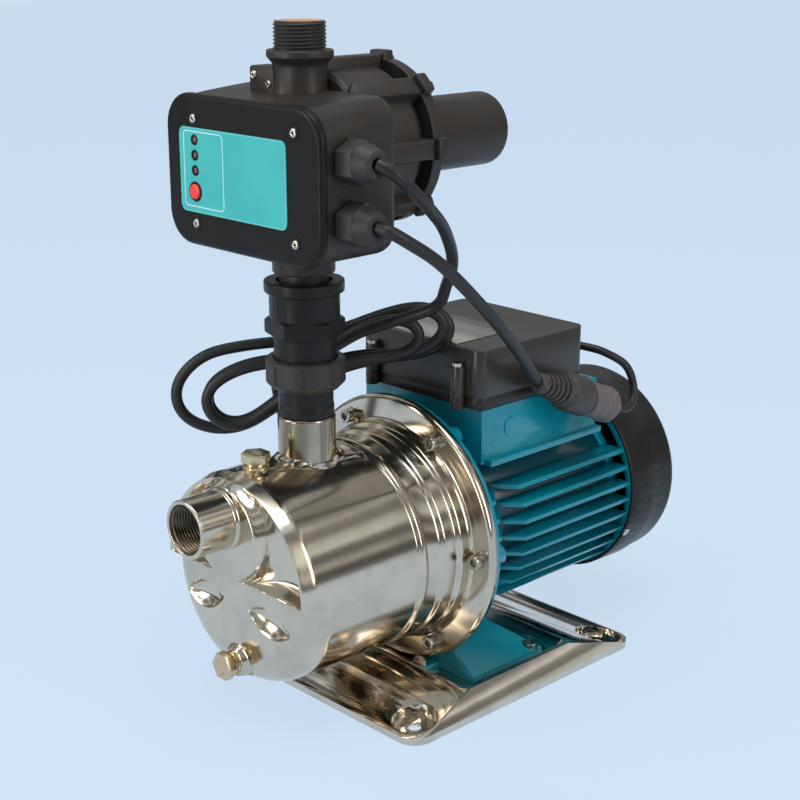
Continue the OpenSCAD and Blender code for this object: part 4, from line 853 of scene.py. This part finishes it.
# %% Union
LOBE_TURN, LOBE_R, GROOVE_DEPTH = radians(2.3), 26.6, 1.1
HEX_TURN, HEX_FLAT = radians(-10.07), 22.95


def lobed(t, r, h):
    """Rows marked by a negative radius get eight grooves, 3 mm wide."""
    off = np.abs((t - LOBE_TURN + pi / 8) % (pi / 4) - pi / 8) * LOBE_R
    return np.where(r < 0, -r - GROOVE_DEPTH * (1 - ease(off, 0.7, 1.7)), r)


def hexed(t, r, h):
    """Rows marked by a negative radius are the smaller of a hexagon and that radius."""
    off = (t - HEX_TURN) % (pi / 3) - pi / 6
    return np.where(r < 0, np.minimum(HEX_FLAT / np.cos(off), -r), r)


tail_line = rounded([(13, 191), (16.6, 191), (16.6, 205.9), (18.7, 206.3, 0.4), (18.7, 213, 0.5),
                     (18.2, 213.6, 0.4), (18.2, 229, 1), (23, 234, 1), (23, 238), (13, 238), (13, 191)])
piece("union_tail_turned", turned(tail_line, "z", UPRIGHT, 96), black_union, replaces="union_tail")
nut_line = np.concatenate([
    rounded([(19.3, 225), (22, 225, 0.4), (26.5, 229.6, 2.4), (26.5, 230.6)]),
    marked([26.5] * 6, [230.9, 231.5, 233, 240, 242.3, 242.9]),
    rounded([(26.5, 243.2), (26.5, 244.6, 1.2), (25, 245.7, 0.8), (21.5, 245.9, 0.3), (21.5, 244.4),
             (23.4, 244.2), (23.4, 234.5), (19.3, 230), (19.3, 225)])])
piece("union_nut_lobed", turned(nut_line, "z", UPRIGHT, 320, lobed), black_nut, replaces="union_nut",
      smooth_angle=50)
body_line = np.concatenate([
    rounded([(16.9, 238.4), (22.9, 238.4, 0.4), (22.9, 243.9, 0.4), (20.9, 244.2), (20.9, 259.8, 0.4),
             (21.7, 260.3, 0.3), (21.7, 261.6)]),
    marked([23.6, 24.6, 25.6, 26.5, 26.5, 25.6, 24.6, 23.6],
           [261.8, 262.1, 262.5, 263, 271.2, 271.7, 272.1, 272.4]),
    rounded([(23.3, 272.7), (23.3, 288.6, 1.4), (26.5, 290.4, 0.8), (26.5, 297, 0.7), (25.8, 297.6, 0.6),
             (18.5, 297.6, 0.4), (18.3, 292), (16.9, 291.6), (16.9, 238.4)])])
piece("union_body_turned", turned(body_line, "z", UPRIGHT, 192, hexed, HEX_TURN), black_union,
      replaces="union_body", smooth_angle=28)
print("union: 3 pieces")

# %% [markdown]
# ## The lead's plug and socket
#
# The connector is turned round its own slanted line. The plug's boot is slotted so that the cord bends
# gently there, a dark gap shows where plug and socket meet, and the socket's end is a plain collar.

# %% Connector
PLUG_START, SOCKET_END = np.array([80.0, 33.0, 215.0]), np.array([79.0, 118.0, 179.0])
CONNECTOR_LENGTH = float(np.linalg.norm(SOCKET_END - PLUG_START))
SLOT_COUNT, SLOT_PITCH = 5, 4.4


def connector_part(profile):
    """The profile turned round z, then laid along the line from the plug's start to the socket's end."""
    w = (SOCKET_END - PLUG_START) / CONNECTOR_LENGTH
    u = np.cross([0, 0, 1.0], w)
    u /= np.linalg.norm(u)
    return turned(profile, "z", (0, 0, 0), 64) @ np.array([u, np.cross(w, u), w]) + PLUG_START


slots = [(r, 4.0 + SLOT_PITCH * k + h, 0.3) for k in range(SLOT_COUNT) for r, h in
         ((7.6 + 0.75 * k, 0), (5.4, 0.05), (5.4, 1.9), (8.2 + 0.75 * k, 1.95))]
plug_line = rounded([(0, -3), (5.6, -3), (7.2, -1, 1)] + slots
                    + [(11.8, 26.5, 1), (14.2, 29, 1.6), (14.2, 50.5, 1.2), (12.4, 51.4, 0.3), (0, 51.4)], 3)
socket_line = rounded([(0, 51), (11.4, 51), (11.4, 54, 0.1), (12.9, 54.2, 0.8), (12.9, 74, 1),
                       (13.6, 75, 0.6), (13.6, 81, 0.8), (11, 83, 1.5), (8, 90, 2),
                       (5, CONNECTOR_LENGTH + 2, 1), (0, CONNECTOR_LENGTH + 2)], 3)
piece("lead_plug", connector_part(plug_line), plug_rubber, replaces="lead_connector")
piece("lead_socket", connector_part(socket_line), socket_rubber)
print("connector:", round(CONNECTOR_LENGTH), "mm long")

# %% [markdown]
# ## Cords
#
# Two cords leave the controller's side. The supply cord drops from the upper gland behind the union, is
# wound into three spare turns there, and ends in a plug that hangs beside the casing, on the side away from
# the camera. The controller's own lead runs from the lower gland to a plug and socket, and the motor's lead
# carries on from the socket into the terminal box. Each is one smooth line through given points, and the
# turns of the bundle come from two outlines.

# %% Lines through points
CORD_D, LEAD_D = 8.0, 6.0
SPACING = 2.0


def line_through(points):
    """A Catmull-Rom curve through the points, sampled again at even spacing along its length."""
    p = np.array(points, float)
    p = np.concatenate([2 * p[:1] - p[1:2], p, 2 * p[-1:] - p[-2:-1]])
    t = np.linspace(0, 1, 24, endpoint=False)[None, :, None]
    a, b, c, d = p[:-3, None], p[1:-2, None], p[2:-1, None], p[3:, None]
    curve = 0.5 * (2 * b + (c - a) * t + (2 * a - 5 * b + 4 * c - d) * t ** 2
                   + (3 * b - a - 3 * c + d) * t ** 3)
    curve = np.concatenate([curve.reshape(-1, 3), p[-2:-1]])
    along = np.concatenate([[0], np.cumsum(np.linalg.norm(np.diff(curve, axis=0), axis=1))])
    even = np.linspace(0, along[-1], int(along[-1] / SPACING) + 2)
    return np.stack([np.interp(even, along, curve[:, k]) for k in range(3)], -1), along[-1]


def eased_line(path, reach):
    """Each point replaced by the Hann-weighted mean of its neighbours; the two ends keep their place."""
    weight = np.hanning(2 * reach + 3)[1:-1]
    ends = 2 * path[:1] - path[reach:0:-1], 2 * path[-1:] - path[-2:-reach - 2:-1]
    padded = np.concatenate([ends[0], path, ends[1]])
    return np.stack([np.convolve(padded[:, k], weight / weight.sum(), "valid") for k in range(3)], -1)


def tube_along(path, radius, sides=16):
    """Grid of rings square to the path; each has the axes of the last ring, turned as little as needed."""
    ahead = np.gradient(path, axis=0)
    ahead /= np.linalg.norm(ahead, axis=1, keepdims=True)
    side = np.cross(ahead[0], [0.31, 0.77, 0.55])
    u = np.empty_like(ahead)
    for k, tangent in enumerate(ahead):
        side = side - tangent * side.dot(tangent)
        side /= np.linalg.norm(side)
        u[k] = side
    v = np.cross(ahead, u)
    a = around(sides)[None, :, None]
    return capped(path[:, None] + radius * (np.cos(a) * u[:, None] + np.sin(a) * v[:, None]))


print("a line through two points 10 mm apart has", len(line_through([(0, 0, 0), (0, 0, 10)])[0]), "points")

# %% [markdown]
# The bundle stands in an upright plane behind the union, square to the camera's view. In that plane each
# turn is a long loop with a wide left end, a narrow waist behind the union and a smaller right end. Two
# outlines, an outer and an inner one, are enough: the cord moves from the inner outline to the outer one,
# and one layer back in each turn, always at the lower right. At the end the line is smoothed, so that no
# bend is tighter than a real cord takes.

# %% The supply cord's route
BUNDLE_TURN = radians(CAMERA_TURN)
PLANE_ALONG = np.array([cos(BUNDLE_TURN), sin(BUNDLE_TURN), 0.0])
PLANE_BACK = np.array([-sin(BUNDLE_TURN), cos(BUNDLE_TURN), 0.0])
FROM_GLAND = [(100, -137, 385), (108, -133, 382), (110, -123, 373), (107, -108, 362), (102, -95, 353),
              (95, -79, 342), (86, -64, 329), (76, -50, 315), (67, -42, 302), (56, -37, 288), (44, -34, 273)]
OUTER_TURN = [(72, 264), (48, 258), (24, 249), (0, 243), (-24, 241), (-48, 238), (-72, 232), (-89, 218),
              (-95, 202), (-88, 186), (-68, 178), (-46, 181), (-24, 195), (0, 212), (24, 223), (50, 229),
              (76, 232), (93, 239), (98, 250), (89, 261)]
INNER_TURN = [(56, 259), (37, 253), (18, 242), (0, 234), (-22, 231), (-40, 228), (-56, 222), (-68, 213),
              (-72, 202), (-67, 191), (-55, 185), (-40, 189), (-20, 204), (0, 221), (18, 230), (40, 234),
              (60, 235), (73, 240), (77, 249), (70, 257)]
TO_PLUG = [(-43, -64, 244), (-56, -73, 236), (-65, -78, 224), (-69, -80, 210), (-69, -77, 193),
           (-69, -73, 176), (-72, -69, 159), (-79, -66, 143), (-86, -66, 128), (-90, -66, 115),
           (-90, -66, 103)]
FIRST_BACK = 37
LAYERS, OUTWARDS, SHIFT_LAPS = (0.7, 1.7, 2.7), 1.74, 0.2
EASING = 7


def bundle_points():
    """Points of three turns. Ramps along the cord, each a fifth of a lap long, move it out and back."""
    outer, inner = np.array(OUTER_TURN, float), np.array(INNER_TURN, float)
    n = len(outer)
    step = np.arange(1, 3 * n + 3)

    def shift(at):
        """0 up to the lap named by at, and 1 from a fifth of a lap later on."""
        return np.clip((step / n - at) / SHIFT_LAPS, 0, 1)[:, None]

    out = shift(OUTWARDS)
    back = FIRST_BACK + CORD_D * sum(shift(at) for at in LAYERS)
    flat = inner[step % n] * (1 - out) + outer[step % n] * out
    return UPRIGHT + flat[:, :1] * PLANE_ALONG + flat[:, 1:] * [0, 0, 1] + back * PLANE_BACK


supply_path = eased_line(line_through(FROM_GLAND + bundle_points().tolist() + TO_PLUG)[0], EASING)

# %% [markdown]
# The two leads are single runs, so their points alone are enough. The controller's lead ends where the plug
# starts, and the motor's lead starts where the socket ends.

# %% The two leads
CONTROLLER_LEAD = [(100, -137, 348), (108, -134, 346), (113, -122, 338), (115, -105, 327), (113, -86, 313),
                   (108, -58, 291), (102, -30, 268), (94, -4, 246), (86, 16, 229), (80, 33, 215)]
MOTOR_LEAD = [(79, 118, 179), (78, 132, 174), (75, 144, 176), (71, 150, 188), (66, 146, 203), (56, 134, 213),
              (44, 128, 216), (32, 122, 217), (26, 112, 217)]
lead_path, lead_length = line_through(CONTROLLER_LEAD)
motor_path, motor_length = line_through(MOTOR_LEAD)
supply_cord = piece("supply_cord_line", tube_along(supply_path, CORD_D / 2), cord_rubber,
                    replaces=("supply_cord", "supply_coil"))
controller_lead = piece("controller_lead_line", tube_along(lead_path, CORD_D / 2), cord_rubber,
                        replaces="controller_lead")
motor_lead = piece("motor_lead_line", tube_along(motor_path, LEAD_D / 2), cord_rubber, replaces="motor_lead")
print("controller lead:", round(lead_length), "mm, motor lead:", round(motor_length), "mm")

# %% [markdown]
# The same helper winds the controller's spring: ten turns of wire inside the spring housing, with room in
# front of it for the piston's stroke.

# %% Spring
SPRING_FRONT, SPRING_BACK, SPRING_TURNS, SPRING_R, WIRE_R = -39.4, 47.0, 10, 12, 1.6
wind = np.linspace(0, 2 * pi * SPRING_TURNS, 36 * SPRING_TURNS)
spring_path = np.stack([SPRING_R * np.cos(wind), np.linspace(SPRING_FRONT, SPRING_BACK, len(wind)),
                        CHAMBER_Z + SPRING_R * np.sin(wind)], -1)
piece("spring_wire", tube_along(spring_path, WIRE_R, 12), inner_steel, replaces="pressure_spring")
print("spring:", SPRING_TURNS, "turns")

# %% [markdown]
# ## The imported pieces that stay
#
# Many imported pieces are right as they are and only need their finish. Cast, moulded and pressed edges are
# never quite sharp, though, and it is the small bright line along an edge that makes a part look solid. So
# the pieces that show get a merged copy with a narrow bevel, and the hidden ones only a finish.

# %% Softened copies
FLAT_WITHIN, EDGE_OVER = radians(0.4), radians(28)


def softened(node, finish, width):
    """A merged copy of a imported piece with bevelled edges; width is in millimetres."""
    mesh = frame["nodes"][node].data.copy()
    mesh.materials.clear()
    work = bmesh.new()
    work.from_mesh(mesh)
    bmesh.ops.remove_doubles(work, verts=work.verts, dist=DOUBLES)
    bmesh.ops.dissolve_limit(work, angle_limit=FLAT_WITHIN, verts=work.verts, edges=work.edges)
    for face in work.faces:
        face.smooth = True
    work.to_mesh(mesh)
    work.free()
    bevel = placed(node + "_soft", mesh, finish, "pump", node).modifiers.new("edges", "BEVEL")
    bevel.width = width * MM
    bevel.segments = 2
    bevel.limit_method = "ANGLE"
    bevel.angle_limit = EDGE_OVER
    bevel.use_clamp_overlap = True
    bevel.harden_normals = True


SOFT_NODES = {
    "base_plate": (steel_base, 0.7), "motor_bracket": (teal_enamel, 0.7), "motor_housing": (teal_fins_root_shade, 0.6),
    "rear_end_shield": (teal_enamel, 0.5), "fan_cover": (black_fan_cover, 0.4),
    "terminal_box_base": (black_box, 0.6), "terminal_box_lid": (black_lid, 1.6),
    "rating_plate": (steel_plated, 0.15), "cable_glands": (black_nut, 0.7),
    "flange_bolts": (steel_plated, 0.3), "priming_plug": (brass, 0.4), "drain_plug": (brass_front, 0.4),
    "foot_screws": (steel_plated, 0.4), "box_gland": (black_nut, 0.5), "supply_plug": (plug_rubber, 1.2),
}
for node, (finish, width) in SOFT_NODES.items():
    softened(node, finish, width)
print("softened:", len(SOFT_NODES))

# %% [markdown]
# The pieces inside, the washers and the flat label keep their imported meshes. They only swap the packed
# material for a finish.

# %% Finishes of the other nodes
PLAIN_NODES = {
    "o_rings": seal_rubber, "casing_back_plate": steel_base, "flange_washers": steel_plated,
    "ejector_body": inner_black, "jet_nozzle": brass, "venturi_tube": inner_black, "diffuser": inner_black,
    "impeller": brass_front, "impeller_nut": brass_front, "seal_rotor": seal_rubber, "seal_seat": ceramic,
    "plug_washers": brass, "motor_shaft": inner_steel, "bearings": inner_steel, "rotor_core": inner_steel,
    "stator_core": inner_steel, "stator_windings": copper, "cooling_fan": inner_black,
    "fan_cover_screws": steel_plated, "terminal_box_gasket": seal_rubber, "terminal_box_screws": steel_plated,
    "capacitor": white_case, "circuit_board": circuit_green, "check_valve": brass,
    "pressure_piston": brass_front, "control_label": label_print,
}
for node, finish in PLAIN_NODES.items():
    thing = frame["nodes"][node]
    thing.data.materials.clear()
    thing.data.materials.append(finish)
print("plain:", len(PLAIN_NODES))

# %% [markdown]
# ## Light
#
# A product like this is lit by large soft panels in a pale room. The backdrop and the floor are one pale
# blue. Light Path tells which rays come from the camera, from metal or through glass: those see the blue
# itself, and all the others get plain soft light. So the backdrop's colour hardly depends on the lamps, and
# the floor still takes the pump's shadow.

# %% Floor and room
PALE_BLUE, SOFT_WHITE = shade(205, 224, 244), shade(236, 236, 238)
GLOW, GLOW_SHARE, ROOM_LIGHT = 1.02, 0.86, 0.62
FLOOR_REACH = 9


def seen_rays(f):
    """1 for a ray from the camera, from metal or through glass, and 0 for the rest."""
    camera_ray, metal_ray, glass_ray = [f.node("LightPath", {}, {}, "Is %s Ray" % kind)
                                        for kind in ("Camera", "Glossy", "Transmission")]
    return (camera_ray + metal_ray + glass_ray).over(0, 1)


def staged(name, mesh, finish, only_in_metal=False):
    """A thing of the studio, which isn't part of the pump."""
    mesh.materials.append(finish)
    thing = bpy.data.objects.new(name, mesh)
    if only_in_metal:
        thing.visible_camera = thing.visible_diffuse = thing.visible_shadow = False
    bpy.context.scene.collection.objects.link(thing)


def floor_finish():
    """The backdrop's own blue to the camera and in metal, with a seventh of plain floor for the shadow."""
    f = Finish("floor")
    plain = f.node("BsdfDiffuse", {}, {"Color": PALE_BLUE})
    glow = f.node("Emission", {}, {"Color": PALE_BLUE, "Strength": GLOW})
    return f.ending(f.node("MixShader", {}, {0: seen_rays(f) * GLOW_SHARE, 1: plain, 2: glow}))


def room_finish():
    """A world that is the backdrop's blue to the camera and in metal, and plain soft light elsewhere."""
    f = Finish("room", world=True)
    soft = f.node("Background", {}, {"Color": SOFT_WHITE, "Strength": ROOM_LIGHT})
    blue = f.node("Background", {}, {"Color": PALE_BLUE, "Strength": 1.0})
    return f.ending(f.node("MixShader", {}, {0: seen_rays(f), 1: soft, 2: blue}))


floor_mesh = bpy.data.meshes.new("floor")
floor_mesh.from_pydata([(x * FLOOR_REACH, y * FLOOR_REACH, 0)
                        for x, y in ((-1, -1), (1, -1), (1, 1), (-1, 1))], [], [(0, 1, 2, 3)])
staged("floor", floor_mesh, floor_finish())
bpy.context.scene.world = room_finish()
print("backdrop and floor:", [round(c, 2) for c in PALE_BLUE[:3]])

# %% [markdown]
# Steel shows the room more than the lamps. So two upright screens stand round the pump that only shiny
# surfaces see. The wall's colour runs through soft grey bands with the height: skirting, wall, a row of
# bright windows, a dark rail, and the pale ceiling, with darker posts between. Those bands are the streaks
# along the casing. A narrow bright door before the suction port gives the front its sharp highlights.

# %% Walls and door
WALL_R, WALL_TOP = 2600, 4000
DOOR_R, DOOR_TOP = 1250, 620


def wall_finish():
    """Light that runs through the bands with the height and is darker at the posts."""
    f = Finish("warm_wall")
    turn = f.number("ARCTAN2", f.axis("Y"), f.axis("X"))
    shift = f.noise(0.8, 2, 0.5)
    height = (f.axis("Z") + 0.35 * (shift - 0.5)).over(0.0, WALL_TOP * MM)
    bands = f.ramp(height, [
        (0.0, shade(118, 117, 120)), (0.045, shade(83, 83, 85)), (0.10, shade(86, 86, 89)),
        (0.12, shade(184, 186, 188)), (0.17, shade(165, 168, 172)), (0.20, shade(97, 97, 102)),
        (0.27, shade(118, 118, 123)), (0.30, shade(222, 231, 233)), (0.42, shade(192, 200, 199)),
        (0.45, shade(126, 126, 126)), (0.56, shade(152, 152, 150)), (0.60, shade(242, 246, 254)),
        (0.66, shade(205, 207, 208)), (0.72, shade(132, 131, 130)), (1.0, shade(169, 169, 167))])
    posts = f.number("SINE", turn * 7.0 + shift * 3.0).soft(0.55, 0.9)
    colour = f.mix(posts * 0.5, bands, shade(92, 92, 92))
    return f.ending(f.node("Emission", {}, {"Color": colour, "Strength": 1.0}))


def door_finish():
    """One plain bright light."""
    f = Finish("bright_door")
    return f.ending(f.node("Emission", {}, {"Color": shade(255, 250, 240), "Strength": 9.0}))


def screen(name, radius, start, end, high, closed):
    """Mesh of (R cos t, R sin t, h) with t from start to end degrees and h from the floor up to high."""
    t = np.radians(np.linspace(start, end, 90))[None, :, None]
    h = np.linspace(0, high, 12)[:, None, None]
    return grid_mesh(name, radius * (np.cos(t) * [1, 0, 0] + np.sin(t) * [0, 1, 0]) + h * [0, 0, 1], closed)


staged("warm_wall", screen("warm_wall", WALL_R, -180, 176, WALL_TOP, True), wall_finish(), True)
staged("bright_door", screen("bright_door", DOOR_R, -96, -86, DOOR_TOP, False), door_finish(), True)
print("screens: a wall", WALL_TOP, "mm high and a door", DOOR_TOP, "mm high")

# %% [markdown]
# The lamps are three soft panels, one overhead and one on each side. They are weak, because the room gives
# most of the light, and their only task is to shape the dark pieces and lay a soft shadow on the floor.

# %% Lamps
MIDDLE = Vector((0, 0, 0.2))
WARM = (1.0, 0.97, 0.92)


def panel(name, place, size, power, colour=(1, 1, 1)):
    """A soft rectangular lamp at place, facing the middle of the pump."""
    light = bpy.data.lights.new(name, "AREA")
    light.shape = "RECTANGLE"
    light.size, light.size_y = size
    light.energy = power
    light.color = colour
    lamp = bpy.data.objects.new(name, light)
    lamp.location = place
    lamp.rotation_euler = (MIDDLE - Vector(place)).to_track_quat("-Z", "Y").to_euler()
    bpy.context.scene.collection.objects.link(lamp)


panel("panel_top", (0.2, -0.3, 1.9), (1.2, 1.2), 16)
panel("panel_left", (-0.9, -1.5, 0.9), (0.7, 1.2), 12, WARM)
panel("panel_right", (1.7, 0.2, 0.8), (0.6, 1.2), 10, WARM)
print("lamps:", 3)

# %% [markdown]
# ## Cords
# #
# # The supply cord and the two leads were made above; the last line prints how many there are.

print("cords declared:", 3)
